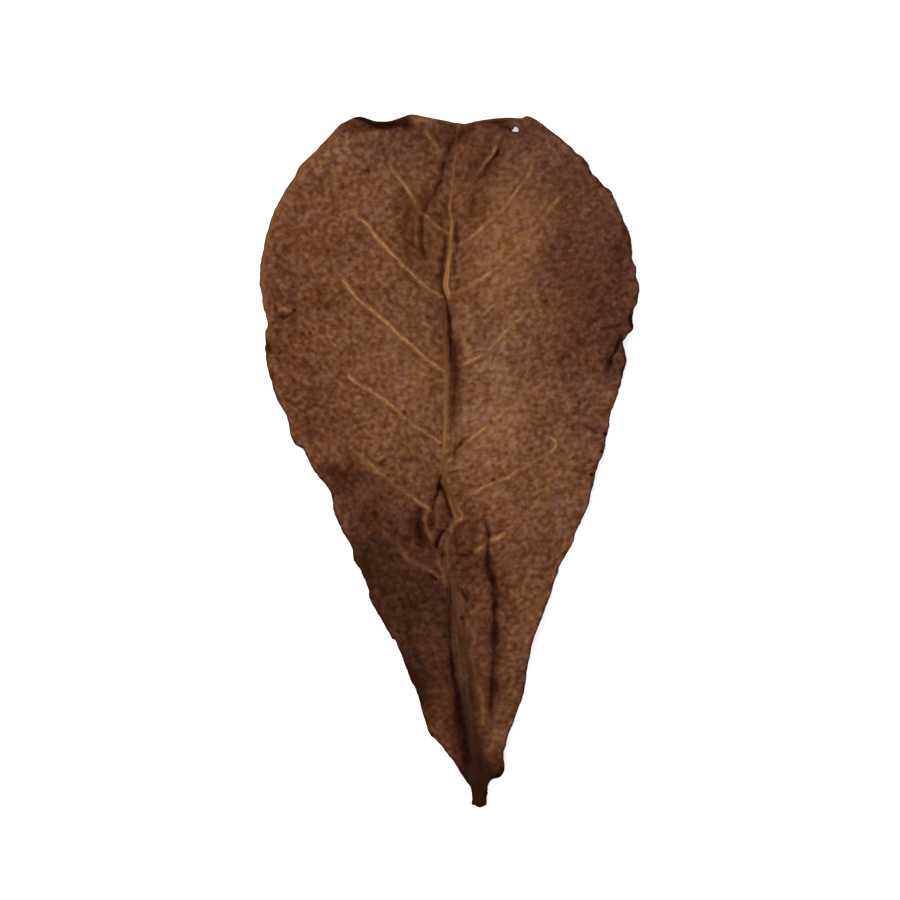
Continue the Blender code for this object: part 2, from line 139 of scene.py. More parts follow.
# how strongly each vein as a whole stands out
VEIN_SHARES = (1.0, 0.92, 1.05, 1.20, 1.05, 0.85, 0.70, 0.85, 0.94, 1.00, 0.92, 1.04, 1.04, 0.9)
PLEAT_LINE = (
    (484, 505), (489, 535), (488, 560), (492.6, 580), (494.8, 611), (495.2, 640),
    (492.8, 681), (493.5, 723), (492, 745),
)  # fmt: skip
# Creases, folds and tears, darkened with painted shade in and beside them: the line, half width and depth in mm, how
# dark the painted shade, and how long the run takes to fade in and out.
# A point of the line may add its own share of the width and of the painted shade.
CREASES = (
    # beside the midrib, from the tip down
    (((459.6, 137, 1.3, 1.0), (456.6, 141, 1.7, 0.9), (452, 144, 1.8, 0.9), (449, 148, 1.4, 1.0), (447.6, 154, 1.4, 1.15), (445.6, 160, 1.2, 0.85),
      (443.8, 166, 1.1, 1.1), (442.8, 172, 1.0, 1.05), (441.6, 178, 1.0, 0.95), (439.2, 184, 1.2, 1.2), (435.4, 190, 1.3, 1.1), (432.4, 197, 1.2, 0.95),
      (428.6, 203, 1.0, 0.9), (425.4, 209, 1.2, 1.2), (423.4, 215, 1.1, 0.65), (421.8, 222, 1.0, 0.95), (421.6, 232, 0.95, 1.05), (421.2, 240, 0.95, 0.75), (422, 250, 1.0, 1.1),
      (424, 256, 1.0, 1.15), (425.4, 262, 0.9, 0.7)), 0.78, 0.30, 0.54, 0.02, 0.06),
    (((427.6, 187), (427.4, 194), (426, 202), (424.6, 209)), 0.90, 0.15, 0.42, 0.3, 0.3),
    (((449, 156), (448, 163), (446.6, 171)), 1.00, 0.10, 0.25, 0.3, 0.3),
    (((457, 140, 1.0, 0.9), (459.6, 137, 1.3, 1.1), (464, 133.4, 1.5, 1.0), (468.4, 130.4, 1.3, 0.9), (474, 129, 1.0, 0.6), (480, 129, 1.0, 0.5)), 1.00, 0.15, 0.56, 0.1, 0.3),
    (((434, 121.4), (440, 123.4), (446, 125), (452, 127), (456.6, 129.6)), 0.50, 0.12, 0.40, 0.2, 0.2),
    (((447.4, 192, 1.0, 0.7), (446.4, 200, 1.0, 1.1), (445.4, 207, 1.0, 0.6), (446, 215), (446.4, 222, 1.0, 0.8)), 0.62, 0.10, 0.40, 0.2, 0.2),
    (((443, 208), (442, 218), (442.4, 230)), 0.90, 0.10, 0.20, 0.3, 0.3),
    (((456, 216, 1.0, 0.5), (456.8, 223, 1.0, 0.9), (457, 231, 1.1, 0.95), (456.6, 239, 1.3, 0.98), (457, 246, 1.1, 0.6), (455.8, 255, 1.2, 0.75), (454.6, 264, 1.2, 0.75),
      (454.6, 272, 1.1, 0.7), (453, 281, 1.0, 0.5)), 0.62, 0.20, 0.64, 0.12, 0.2),
    (((473.6, 193), (472.6, 204), (471, 214), (469, 222)), 0.85, 0.25, 0.48, 0.3, 0.4),
    (((499, 147, 0.9, 0.6), (497.8, 152, 1.0, 1.1), (495, 157, 1.0, 1.25), (491.6, 160.6, 1.0, 1.1), (488, 166, 1.2, 0.8), (484, 172, 1.5, 0.8), (479, 178, 1.3, 0.8), (474, 184, 1.0, 0.6)), 0.66, 0.30, 0.66, 0.1, 0.3),
    (((489, 166), (485.4, 174), (482, 182)), 1.60, 0.10, 0.30, 0.3, 0.4),
    (((444.6, 236, 0.8, 0.6), (445.2, 242, 1.0, 0.7), (444.4, 250), (443, 258), (442.2, 268), (441, 278), (440.8, 286, 0.9, 0.8), (443, 293, 1.0, 0.8), (446, 301, 1.1, 1.1)), 0.60, 0.50, 0.62, 0.1, 0.0),
    (((438.6, 256), (438.4, 263)), 0.60, 0.10, 0.35, 0.3, 0.3),
    (((444.6, 298, 1.0, 0.9), (447.8, 308, 1.0, 0.85), (449.5, 320, 1.0, 0.88), (450.3, 334, 1.05, 0.86), (451.4, 350, 1.1, 0.78), (452.2, 366, 1.2, 0.66), (452.3, 380, 1.15, 0.5),
      (451.8, 392, 1.0, 0.48), (451.5, 404, 0.95, 0.44), (451.4, 416, 0.9, 0.48), (451, 428, 0.8, 0.34), (450.7, 442, 0.8, 0.42)), 0.75, 0.80, 0.95, 0.06, 0.1),
    (((453, 336, 0.7, 0.5), (454, 348, 0.95, 0.86), (454.6, 357, 1.15, 0.92), (455.4, 368, 1.3, 0.86), (455, 380, 1.3, 0.88), (454.2, 394, 1.15, 0.88),
      (453.6, 408, 1.0, 0.82), (453, 420, 0.9, 0.76), (452.4, 432, 0.8, 0.62), (451.6, 442, 0.65, 0.52)), 1.45, 0.50, 0.72, 0.08, 0.2),
    (((440.9, 376), (441, 400), (440.8, 424), (440.4, 446)), 0.34, 0.05, 0.13, 0.2, 0.2),
    (((441, 302), (442, 312), (443, 324), (442, 336)), 0.90, 0.10, 0.34, 0.2, 0.4),
    (((468, 436.5), (461.4, 442.9), (457.4, 450), (454, 456.5), (452.4, 461)), 0.70, 0.35, 0.66, 0.25, 0.25),
    # the split of the midrib
    (((439.4, 473.6, 0.4, 0.7), (439.2, 478, 0.65, 0.8), (439.2, 482, 0.95, 1.1), (439.2, 487.4, 1.3, 1.2), (439, 490, 1.2, 1.1)), 0.62, 0.95, 1.02, 0.05, 0.0),
    (((438.6, 486, 1.2, 1.1), (437.4, 492.4, 1.1, 1.0), (435.6, 497.4, 1.0, 0.85), (433.6, 502.6, 1.2, 0.62), (433.2, 508, 1.2, 0.68), (431.4, 515, 1.2, 0.5)), 0.62, 0.70, 0.84, 0.0, 0.2),
    (((440.4, 485, 1.1, 1.15), (442.6, 491.4, 1.1, 1.0), (444.8, 497.4, 1.0, 0.9), (446.6, 502.4, 1.0, 0.82), (448.6, 508.4, 1.0, 0.82), (450.4, 515, 1.1, 0.8), (451.8, 521.6, 1.2, 0.8)), 0.58, 0.75, 0.76, 0.0, 0.15),
    (((442, 500, 0.8, 0.7), (443.6, 506), (445.4, 513, 1.1, 0.9), (447, 520, 1.1, 0.95), (447.4, 525, 0.8, 1.1)), 1.35, 0.25, 0.42, 0.2, 0.15),
    (((445, 525), (448, 527.4)), 0.66, 0.10, 0.66, 0.2, 0.2),
    (((445.8, 530, 0.8, 0.8), (442.2, 531.4, 1.0, 0.95), (439.8, 535), (438, 540, 1.1, 1.1), (436.6, 545, 1.1, 1.2), (436.2, 550, 0.9, 1.0)), 0.60, 0.65, 0.90, 0.08, 0.12),
    (((431.4, 522), (432, 527.4)), 0.80, 0.12, 0.62, 0.3, 0.3),
    (((430.8, 512.6), (431.2, 518)), 0.80, 0.10, 0.42, 0.3, 0.3),
    (((441.6, 551), (442.4, 558)), 0.60, 0.30, 0.55, 0.3, 0.3),
    (((420, 505, 0.8, 1.2), (418.6, 514), (418, 524, 1.2, 1.2), (419.4, 534, 1.3, 1.3), (422, 543), (427, 552)), 1.15, 0.20, 0.48, 0.1, 0.3),
    (((452, 470), (452.4, 474.4)), 0.62, 0.10, 0.45, 0.3, 0.3),
    (((455.6, 494), (458.4, 496.8), (462, 496.4), (465.4, 493)), 0.62, 0.12, 0.42, 0.3, 0.3),
    (((462.6, 502.6), (464.2, 508)), 1.00, 0.10, 0.40, 0.3, 0.3),
    (((455.6, 530), (455.6, 538), (456, 546)), 0.60, 0.15, 0.34, 0.2, 0.3),
    (((458, 560), (458.4, 564.6)), 0.62, 0.12, 0.62, 0.3, 0.3),
    (((454.4, 564), (454, 572)), 0.70, 0.10, 0.36, 0.3, 0.3),
    (((471, 525), (473.4, 534), (473, 547)), 1.00, 0.15, 0.34, 0.3, 0.3),
    (((480.6, 516), (482.4, 524)), 0.90, 0.10, 0.28, 0.3, 0.3),
    (((428.6, 573.6), (433, 576.6), (438.4, 580)), 0.62, 0.30, 0.66, 0.25, 0.25),
    (((460.4, 553.4), (463.6, 555.6), (468, 554.8), (472, 552), (475, 548.6)), 0.80, 0.35, 0.72, 0.1, 0.3),
    # left edge of the strap that runs down to the stalk
    (((450, 576, 0.9, 0.45), (450, 586, 1.0, 0.6), (450, 595, 1.1, 0.6), (449.8, 604, 1.2, 0.55), (449, 612, 1.1, 0.72), (449, 619, 1.0, 0.62), (449.2, 628, 1.0, 0.8), (449.4, 635, 1.0, 0.66), (449.8, 642, 1.2, 0.62), (450.6, 656, 1.1, 0.95), (452.6, 672, 1.1, 1.1),
      (455, 684, 1.5, 1.0), (456.8, 696, 1.9, 1.0), (458.4, 707, 2.3, 0.95), (460.4, 718, 2.6, 0.9), (463.4, 732, 2.2, 0.8), (465, 745, 2.2, 0.85), (465.4, 757, 2.4, 0.85), (465, 768, 2.4, 0.9)), 0.62, 0.35, 0.76, 0.1, 0.05),
    (((445.4, 594), (445, 610), (445.4, 626), (447, 642)), 1.10, 0.10, 0.28, 0.3, 0.3),
    (((443.2, 662), (443.6, 672), (444.6, 684)), 1.10, 0.10, 0.34, 0.3, 0.3),
    (((459.6, 586.5), (462.4, 591), (465, 597), (467.4, 603)), 0.66, 0.30, 0.66, 0.2, 0.3),
    (((462.6, 614.6), (463, 618), (463.2, 621.6)), 0.48, 0.12, 0.62, 0.3, 0.3),
    (((483, 606.6), (484.4, 610)), 0.58, 0.10, 0.50, 0.3, 0.3),
    (((482.4, 615.6), (484.8, 620), (484.2, 626)), 0.72, 0.12, 0.46, 0.3, 0.3),
    (((471.6, 605), (475, 608.6)), 0.62, 0.10, 0.40, 0.3, 0.3),
    (((468.8, 611), (471.6, 619), (475.6, 627)), 0.50, 0.12, 0.32, 0.3, 0.3),
    (((465, 630), (466.6, 650), (471.6, 672), (473, 700), (474, 716)), 0.90, 0.15, 0.36, 0.3, 0.3),
    # the long pleat
    (((484.8, 514, 0.9, 0.35), (486.2, 522, 1.0, 0.55), (487.8, 528, 1.0, 0.9), (489.4, 534, 1.0, 1.1), (489.4, 540, 1.0, 0.9), (488.4, 546, 1.3, 1.0), (488, 553, 1.9, 1.1), (488, 560, 2.4, 1.1),
      (488.4, 567, 3.1, 1.05), (490.4, 574, 2.6, 1.1), (493.4, 581, 1.8, 1.15), (494.2, 589, 1.9, 1.0), (495.2, 597, 1.9, 1.0), (494.8, 603, 1.7, 1.15), (494.6, 609, 1.6, 0.95), (495.4, 616, 2.2, 0.95),
      (495.4, 623, 2.2, 1.15), (495.2, 630, 2.6, 1.1), (494.8, 638, 2.7, 1.05), (495, 648, 2.4, 0.9), (495.2, 658, 2.2, 0.80), (494, 666, 2.0, 0.9), (493.2, 676, 2.2, 0.95), (493, 688, 2.9, 0.95), (491.6, 696, 2.4, 0.9),
      (491, 706, 1.8, 0.85), (492, 716, 1.8, 0.6), (492.4, 728, 1.6, 0.5), (491.6, 738, 1.6, 0.4)), 0.60, 0.40, 0.71, 0.03, 0.04),
    (((490.6, 590.4), (491.6, 595)), 0.60, 0.10, 0.66, 0.3, 0.3),
    (((484, 562), (484.6, 574)), 0.90, 0.10, 0.30, 0.3, 0.3),
    # wrinkles by the notch of the right margin
    (((622, 333, 0.7, 0.7), (619.6, 339), (617.2, 345, 1.1, 1.2), (614.8, 351), (611.6, 356.4, 1.1, 1.1), (609.8, 361, 1.3, 1.15), (607.8, 367, 1.2, 1.0), (603.8, 373), (600, 377, 1.0, 0.6)), 0.74, 0.50, 0.68, 0.05, 0.2),
    (((600, 332), (604, 328.8), (608, 327.2), (613, 327.8), (618, 325.6), (624, 324)), 0.68, 0.30, 0.54, 0.2, 0.25),
    (((584, 327.6), (588, 326), (592, 322.8), (596, 320.6), (600.6, 321)), 0.66, 0.25, 0.42, 0.2, 0.3),
    (((630.2, 311), (630.4, 320), (631, 328.6)), 0.66, 0.15, 0.80, 0.2, 0.1),
    (((625.6, 315.6), (627.4, 318.4)), 0.58, 0.10, 0.55, 0.3, 0.3),
    (((606.4, 302), (603.6, 308.6)), 0.60, 0.12, 0.38, 0.3, 0.3),
    (((604.6, 337.6), (600.4, 341.6)), 0.60, 0.10, 0.38, 0.3, 0.3),
    (((624.8, 351), (625.4, 360), (622.6, 369), (620.6, 378)), 0.55, 0.10, 0.60, 0.2, 0.3),
    (((561.6, 354), (563.2, 362)), 0.72, 0.12, 0.44, 0.3, 0.3),
    (((576, 338.6), (579, 345)), 1.05, 0.15, 0.50, 0.3, 0.3),
    (((583, 426), (588, 427.4), (591.4, 430.4), (596, 432.2), (600.8, 430.8)), 0.52, 0.25, 0.64, 0.2, 0.3),
    (((589, 440.6), (596, 440), (603.6, 440.6)), 0.52, 0.20, 0.52, 0.2, 0.3),
    (((604.6, 430.6), (605.4, 436)), 0.75, 0.10, 0.95, 0.3, 0.3),
    (((591.6, 471.6), (592.8, 477.4)), 0.72, 0.10, 0.95, 0.3, 0.3),
    (((601, 449.4), (602, 453.8)), 0.62, 0.10, 0.72, 0.3, 0.3),
    (((593.4, 463.6), (594.4, 468)), 0.62, 0.10, 0.50, 0.3, 0.3),
    (((572.6, 456.4), (573.8, 460.2)), 0.58, 0.10, 0.55, 0.3, 0.3),
    (((583.6, 464), (584.8, 468.4)), 0.58, 0.10, 0.50, 0.3, 0.3),
    (((587.6, 403.6), (588.8, 408.4)), 0.58, 0.10, 0.50, 0.3, 0.3),
    (((571, 556), (575, 562), (578, 567)), 0.60, 0.12, 0.55, 0.3, 0.2),
    # the left half
    (((276, 315.6, 0.8, 0.7), (281, 316.6, 1.1, 1.0), (286, 316.6, 1.0, 0.95), (291, 314, 0.8, 0.6), (295.4, 310.6, 1.1, 0.95), (298, 307.6, 0.8, 0.6)), 0.62, 0.35, 0.70, 0.15, 0.15),
    (((267, 342, 1.0, 0.9), (267.8, 347.6, 1.4, 1.1), (269.8, 352, 1.3, 0.9), (274, 353.4, 1.1, 0.6), (278, 353.2, 1.0, 0.95), (284, 351.4, 1.0, 0.6)), 0.62, 0.30, 0.72, 0.02, 0.25),
    (((268.4, 322.6), (269.6, 329)), 0.62, 0.15, 0.75, 0.25, 0.3),
    (((270.8, 370.6), (274, 377.4)), 0.62, 0.10, 0.60, 0.3, 0.3),
    (((308.6, 333), (312.8, 334.2)), 0.72, 0.15, 0.62, 0.3, 0.3),
    (((312.6, 327.4), (316, 329.6)), 0.52, 0.10, 0.42, 0.3, 0.3),
    (((277, 330.6), (278.6, 335)), 0.58, 0.10, 0.42, 0.3, 0.3),
    (((336, 130.8), (342, 125.8), (348, 123.4), (354, 122.8)), 0.58, 0.12, 0.62, 0.2, 0.2),
    (((302.5, 226), (306, 232), (311, 239)), 0.65, 0.25, 0.45, 0.3, 0.4),
    (((402.6, 409.5), (406.6, 415.5)), 0.70, 0.20, 0.60, 0.3, 0.3),
    (((404, 423), (409, 424)), 0.70, 0.15, 0.50, 0.3, 0.3),
    (((386.6, 317.5), (391, 321)), 0.70, 0.20, 0.50, 0.3, 0.3),
    (((378.2, 465.8), (382.2, 462.2), (387.4, 457.8)), 0.70, 0.20, 0.66, 0.1, 0.25),
    (((387.4, 473.8), (389.8, 476)), 0.60, 0.10, 0.55, 0.3, 0.3),
    (((367, 171), (370, 174.6)), 0.65, 0.12, 0.55, 0.3, 0.3),
    # the right half
    (((489, 425), (493, 419)), 0.65, 0.20, 0.60, 0.3, 0.3),
    (((491.6, 478.6), (496, 479.6)), 0.62, 0.12, 0.60, 0.3, 0.3),
    (((479.4, 485), (481.6, 486)), 0.60, 0.12, 0.55, 0.3, 0.3),
    (((470, 124.8), (478, 123.8), (490, 123), (502, 122.8), (512, 123.2)), 0.62, 0.10, 0.48, 0.2, 0.2),
    (((496.6, 126.6), (503, 128.6), (508, 129.8)), 1.00, 0.12, 0.40, 0.3, 0.2),
    (((508, 132), (510.4, 129.4)), 0.62, 0.10, 0.95, 0.2, 0.2),
    (((525.4, 128.4), (527, 131)), 0.62, 0.10, 0.60, 0.3, 0.3),
    (((546.4, 126.6), (551.6, 130.2), (556.4, 135)), 0.60, 0.12, 0.66, 0.2, 0.2),
    (((530, 148.6), (530.8, 153.4)), 0.62, 0.10, 0.42, 0.3, 0.3),
    (((532.6, 175.8), (535.2, 178.2)), 0.60, 0.10, 0.42, 0.3, 0.3),
    (((510, 192), (512.6, 195)), 0.62, 0.10, 0.50, 0.3, 0.3),
    (((504, 765.6), (502, 773), (497, 777), (491, 780.4)), 0.95, 0.15, 0.85, 0.2, 0.2),
)  # fmt: skip
# The dipped lip at the upper left, where the rolled tip shows its shaded side
LIP = ((352, 118.5), (356, 121.5), (360, 123.5), (364, 125), (368, 127), (372, 128.8), (376, 129.8), (380, 130.6), (385, 131), (390, 130.6), (394, 129.6), (398, 128.8), (402, 129), (406, 129.8), (410, 128.8), (413, 126), (414.5, 118))
# Raised folds and edges, with a painted highlight along their tops: the line, half width and height in mm, how pale the
# painted highlight, and how long the run takes to fade in and out
RIDGES = (
    (((427.6, 509.6), (425.8, 516), (425.4, 523), (427.4, 530), (430.4, 537), (433.6, 544.6)), 0.58, 0.30, 0.66, 0.1, 0.25),
    (((434.6, 549), (437, 556), (439.6, 565), (443, 572), (444.4, 580), (444, 590)), 0.50, 0.25, 0.46, 0.3, 0.2),
    (((446.8, 490), (449, 499), (451.4, 507), (454, 514), (457, 521)), 0.42, 0.25, 0.85, 0.6, 0.0),
    (((456, 498), (459.6, 506.6), (462, 513), (463.6, 518)), 0.42, 0.25, 0.70, 0.5, 0.05),
    (((455.6, 522.4), (458.6, 520.6), (462.6, 518.4)), 0.62, 0.20, 1.15, 0.05, 0.05),
    (((455, 523), (451.6, 525.4)), 0.50, 0.12, 0.36, 0.1, 0.2),
    (((446, 528.6), (449.6, 528.8), (452.8, 531.8)), 0.50, 0.20, 0.46, 0.2, 0.2),
    (((439.4, 548), (441.4, 541.4), (444.4, 535.4), (447, 531.6)), 0.44, 0.25, 0.46, 0.2, 0.2),
    (((447, 536), (446, 548), (447.4, 560), (448.6, 572)), 0.50, 0.20, 0.36, 0.2, 0.3),
    (((441.4, 492), (441.4, 498)), 0.62, 0.12, 0.30, 0.3, 0.3),
    (((454.6, 467.2), (458.4, 465.4), (462.4, 463.8)), 0.55, 0.15, 0.85, 0.2, 0.2),
    (((455, 312), (459.4, 324), (463.4, 338), (468, 354), (471.6, 370)), 0.80, 0.20, 0.50, 0.2, 0.3),
    (((466.4, 616.6), (468.6, 623), (472, 628.4), (473.8, 634), (474.6, 641), (475.6, 649)), 0.95, 0.20, 0.36, 0.2, 0.3),
    (((469, 616), (475, 610.4), (481, 605), (486.6, 601.6)), 0.66, 0.15, 0.42, 0.2, 0.2),
    (((478, 606), (482, 604.4), (486, 606)), 0.60, 0.12, 0.42, 0.2, 0.2),
    (((466, 640), (471, 656), (476, 674), (479, 690), (482, 702), (484.6, 720)), 0.90, 0.30, 0.16, 0.2, 0.2),
    (((480.6, 690), (482.6, 702), (484, 724)), 0.66, 0.20, 0.46, 0.2, 0.2),
    (((278.6, 308.6), (284, 309.6), (288, 311.4), (292, 309.4)), 0.62, 0.30, 0.95, 0.2, 0.2),
    (((417, 212), (416.6, 224), (416.4, 236), (416.4, 252)), 0.55, 0.15, 0.42, 0.2, 0.3),
    (((426, 216), (425.6, 228), (425.6, 240), (427.4, 254)), 0.60, 0.10, 0.30, 0.2, 0.3),
    (((516, 394.6), (528, 391.6), (536, 388), (541.6, 383)), 0.50, 0.15, 0.45, 0.2, 0.2),
    (((376.4, 462.2), (380.6, 458.4), (386.8, 453.4)), 0.66, 0.20, 0.58, 0.2, 0.3),
    (((374.6, 469), (377, 470.8), (379.6, 472.4)), 1.15, 0.12, 0.74, 0.35, 0.35),
    (((359, 456), (366.6, 462.4), (374, 468.6)), 1.50, 0.05, 0.24, 0.3, 0.2),
    (((418.6, 345), (424, 339)), 0.50, 0.12, 0.60, 0.2, 0.2),
    (((413, 120.6), (420, 121.4), (429, 122.4)), 0.66, 0.10, 0.72, 0.15, 0.2),
    (((618.4, 351), (615.6, 356), (612.6, 362)), 0.50, 0.20, 0.32, 0.2, 0.2),
    (((631, 331.4), (627, 335.4), (623.6, 340)), 0.50, 0.12, 0.62, 0.2, 0.2),
    (((592, 436.4), (596, 437), (601, 435.6)), 0.56, 0.20, 0.50, 0.2, 0.3),
    (((591, 446.6), (596.4, 446), (600.6, 446.8)), 0.60, 0.15, 0.42, 0.2, 0.3),
    (((592, 325.4), (596, 325)), 0.60, 0.12, 0.40, 0.3, 0.3),
    (((611, 304.6), (617, 303)), 0.80, 0.12, 0.38, 0.3, 0.3),
    (((458.4, 125), (457.6, 131)), 0.42, 0.10, 0.60, 0.2, 0.2),
    (((574, 404), (576, 407)), 0.60, 0.12, 0.42, 0.3, 0.3),
    (((433, 581), (436, 583)), 0.50, 0.12, 0.50, 0.3, 0.3),
    (((548, 586), (541, 601), (531, 614), (523, 627), (516, 641)), 1.60, 0.05, 0.26, 0.3, 0.4),
)  # fmt: skip
# Broad patches of the blade, partly its own tone and partly painted shade where it folds or falls away from the light,
# such as beside the creases, under the notch at the tip and along the lip: x, y and reach each way, how much lighter,
# how much redder (or yellower), and how much greyer (or more orange)
PATCHES = (
    (604, 250, 46, 78, -0.12, 0.38, 0.8), (602, 328, 44, 36, -0.11, 0.3, 0.6), (560, 275, 26, 34, -0.03, 0.2, 0.2),
    (505, 235, 40, 60, 0.09, -0.85, 0.0), (488, 290, 28, 32, 0.05, -0.3, 0.0), (400, 605, 64, 92, -0.34, 0.1, 0.85),
    (370, 540, 34, 34, -0.12, 0.1, 0.3), (347, 470, 26, 15, -0.20, 0.3, 0.0), (285, 300, 34, 66, -0.09, 0.1, 0.0), (318, 405, 40, 36, -0.07, 0.1, 0.0),
    (407, 226, 13, 36, -0.20, 0.0, 0.0), (402, 148, 26, 20, -0.10, 0.0, 0.5), (378, 150, 11, 12, -0.10, 0.0, 0.5), (484, 163, 22, 24, -0.16, 0.1, 0.0),
    (452, 132, 24, 14, -0.18, 0.0, 0.0), (442, 712, 22, 46, -0.16, -0.5, 0.0), (505, 690, 18, 60, -0.03, -0.4, 0.0),
    (530, 590, 24, 60, 0.0, -0.2, 0.0), (412, 378, 40, 62, 0.10, 0.0, 0.0), (482, 422, 40, 68, 0.11, -0.1, 0.0),
    (468, 512, 20, 28, -0.05, -0.3, 0.0), (449, 160, 12, 14, -0.08, 0.0, 0.0), (263, 222, 10, 16, -0.08, 0.0, 0.0), (513, 612, 13, 20, -0.07, 0.0, 0.0), (592, 440, 22, 60, 0.0, 0.2, 0.0), (468, 558, 18, 44, -0.14, 0.1, 0.0),
    (478, 785, 22, 24, -0.60, 0.0, 0.0), (466, 738, 15, 34, -0.34, 0.2, 0.0), (613, 370, 11, 20, -0.10, 0.3, 1.0),
    (296, 372, 26, 24, -0.04, 0.2, 0.0), (335, 430, 30, 24, -0.03, 0.1, 0.0), (552, 500, 30, 30, 0.03, -0.1, 0.0),
    (457, 545, 5, 22, -0.05, -0.5, 0.0), (449, 270, 14, 50, -0.04, -0.7, 0.0), (424, 228, 26, 38, 0.0, -0.2, -0.7), (438, 376, 24, 84, 0.0, 0.0, -0.6), (574, 300, 20, 46, 0.0, 0.0, -0.45), (500, 762, 10, 14, -0.2, 0.4, 0.0),
    (462, 640, 30, 56, -0.09, 0.1, 0.3), (420, 525, 14, 24, -0.10, 0.1, 0.0), (410, 675, 20, 44, -0.26, 0.0, 0.2),
    (356, 565, 16, 30, -0.18, 0.0, 0.2), (330, 488, 20, 18, -0.14, 0.0, 0.0), (461, 320, 9, 14, 0.12, 0.0, 0.0),
    (520, 154, 50, 30, -0.05, 0.0, 0.35), (330, 136, 14, 12, 0.08, 0.0, 0.0), (578, 188, 34, 28, -0.05, 0.0, 0.5), (504, 350, 46, 44, 0.0, 0.0, 0.45), (576, 400, 32, 34, 0.0, 0.0, 0.45),
    (345, 146, 60, 34, 0.0, -0.2, 0.45), (450, 122, 60, 30, 0.0, -0.4, 0.5), (548, 428, 26, 20, 0.0, 0.0, 0.2), (352, 536, 20, 24, 0.05, 0.0, 0.25), (412, 556, 24, 24, 0.03, 0.0, 0.2),
    (450, 596, 26, 24, 0.05, 0.0, 0.15), (408, 690, 8, 20, -0.14, 0.0, 0.0), (478, 188, 14, 22, -0.14, 0.0, 0.0), (362, 122, 46, 9, -0.10, 0.0, 0.0), (490, 122, 30, 9, -0.13, 0.0, 0.0), (506, 132, 24, 16, -0.10, 0.0, 0.2), (420, 132, 14, 14, -0.08, 0.0, 0.0), (336, 190, 28, 16, -0.09, 0.0, 0.0), (481, 218, 20, 18, -0.08, 0.0, 0.0), (330, 245, 26, 18, -0.07, 0.0, 0.0),
    (328, 302, 16, 16, -0.09, 0.0, 0.0), (622, 270, 16, 34, -0.04, 0.0, 0.0), (555, 265, 24, 34, -0.07, 0.0, 0.0), (560, 182, 30, 24, -0.06, 0.0, 0.0),
    (572, 356, 22, 26, -0.08, 0.0, 0.0), (505, 338, 14, 14, 0.10, 0.0, 0.0), (507, 408, 20, 26, 0.08, 0.0, 0.0), (362, 494, 34, 26, -0.11, 0.0, 0.35), (370, 518, 24, 13, -0.08, 0.0, 0.0), (304, 430, 20, 18, -0.07, 0.0, 0.0),
    (358, 577, 16, 16, -0.14, 0.0, 0.0), (405, 648, 32, 24, 0.13, 0.0, 0.0), (412, 696, 14, 16, -0.30, 0.0, 0.0), (473, 690, 12, 36, -0.15, 0.0, 0.0), (358, 128, 24, 6, -0.20, 0.1, 0.0), (406, 130, 14, 7, -0.16, 0.1, 0.0),
    (498, 580, 12, 50, -0.08, 0.0, 0.0), (522, 132, 60, 24, 0.0, 0.0, 0.28), (447, 668, 20, 46, 0.0, -0.1, 0.28), (573, 388, 26, 24, 0.0, 0.0, 0.2), (404, 686, 10, 16, -0.08, 0.0, 0.0), (616, 262, 16, 20, -0.07, 0.0, 0.0),
    (460, 597, 5, 12, 0.15, 0.0, 0.0), (453, 637, 6, 20, 0.16, -0.2, 0.5), (462, 662, 8, 24, 0.10, -0.1, 0.5), (468, 684, 7, 14, 0.12, 0.0, 0.5), (471, 650, 8, 14, 0.05, 0.0, 0.3),
    (548, 158, 60, 34, 0.0, 0.0, 0.24), (388, 216, 20, 20, 0.0, 0.0, 0.28), (322, 404, 44, 28, 0.0, 0.0, 0.2), (450, 366, 12, 22, 0.0, 0.0, -0.3), (588, 394, 18, 22, 0.0, 0.0, 0.15), (622, 262, 16, 40, 0.0, 0.0, 0.25), (462, 538, 7, 9, 0.04, 0.0, 0.0), (482, 740, 8, 14, -0.18, 0.0, 0.0),
)  # fmt: skip
# Where the mottling is quieter (negative) or stronger: x, y, reach each way, how much
MOTTLING = (
    (515, 190, 68, 95, -0.25), (600, 300, 34, 60, -0.13), (396, 172, 34, 32, -0.16), (366, 345, 34, 62, -0.10), (478, 685, 32, 80, -0.22),
    (575, 426, 36, 44, -0.08), (505, 126, 60, 16, -0.10), (270, 340, 24, 60, 0.10), (440, 405, 22, 40, 0.14), (384, 438, 36, 34, 0.10),
)  # fmt: skip
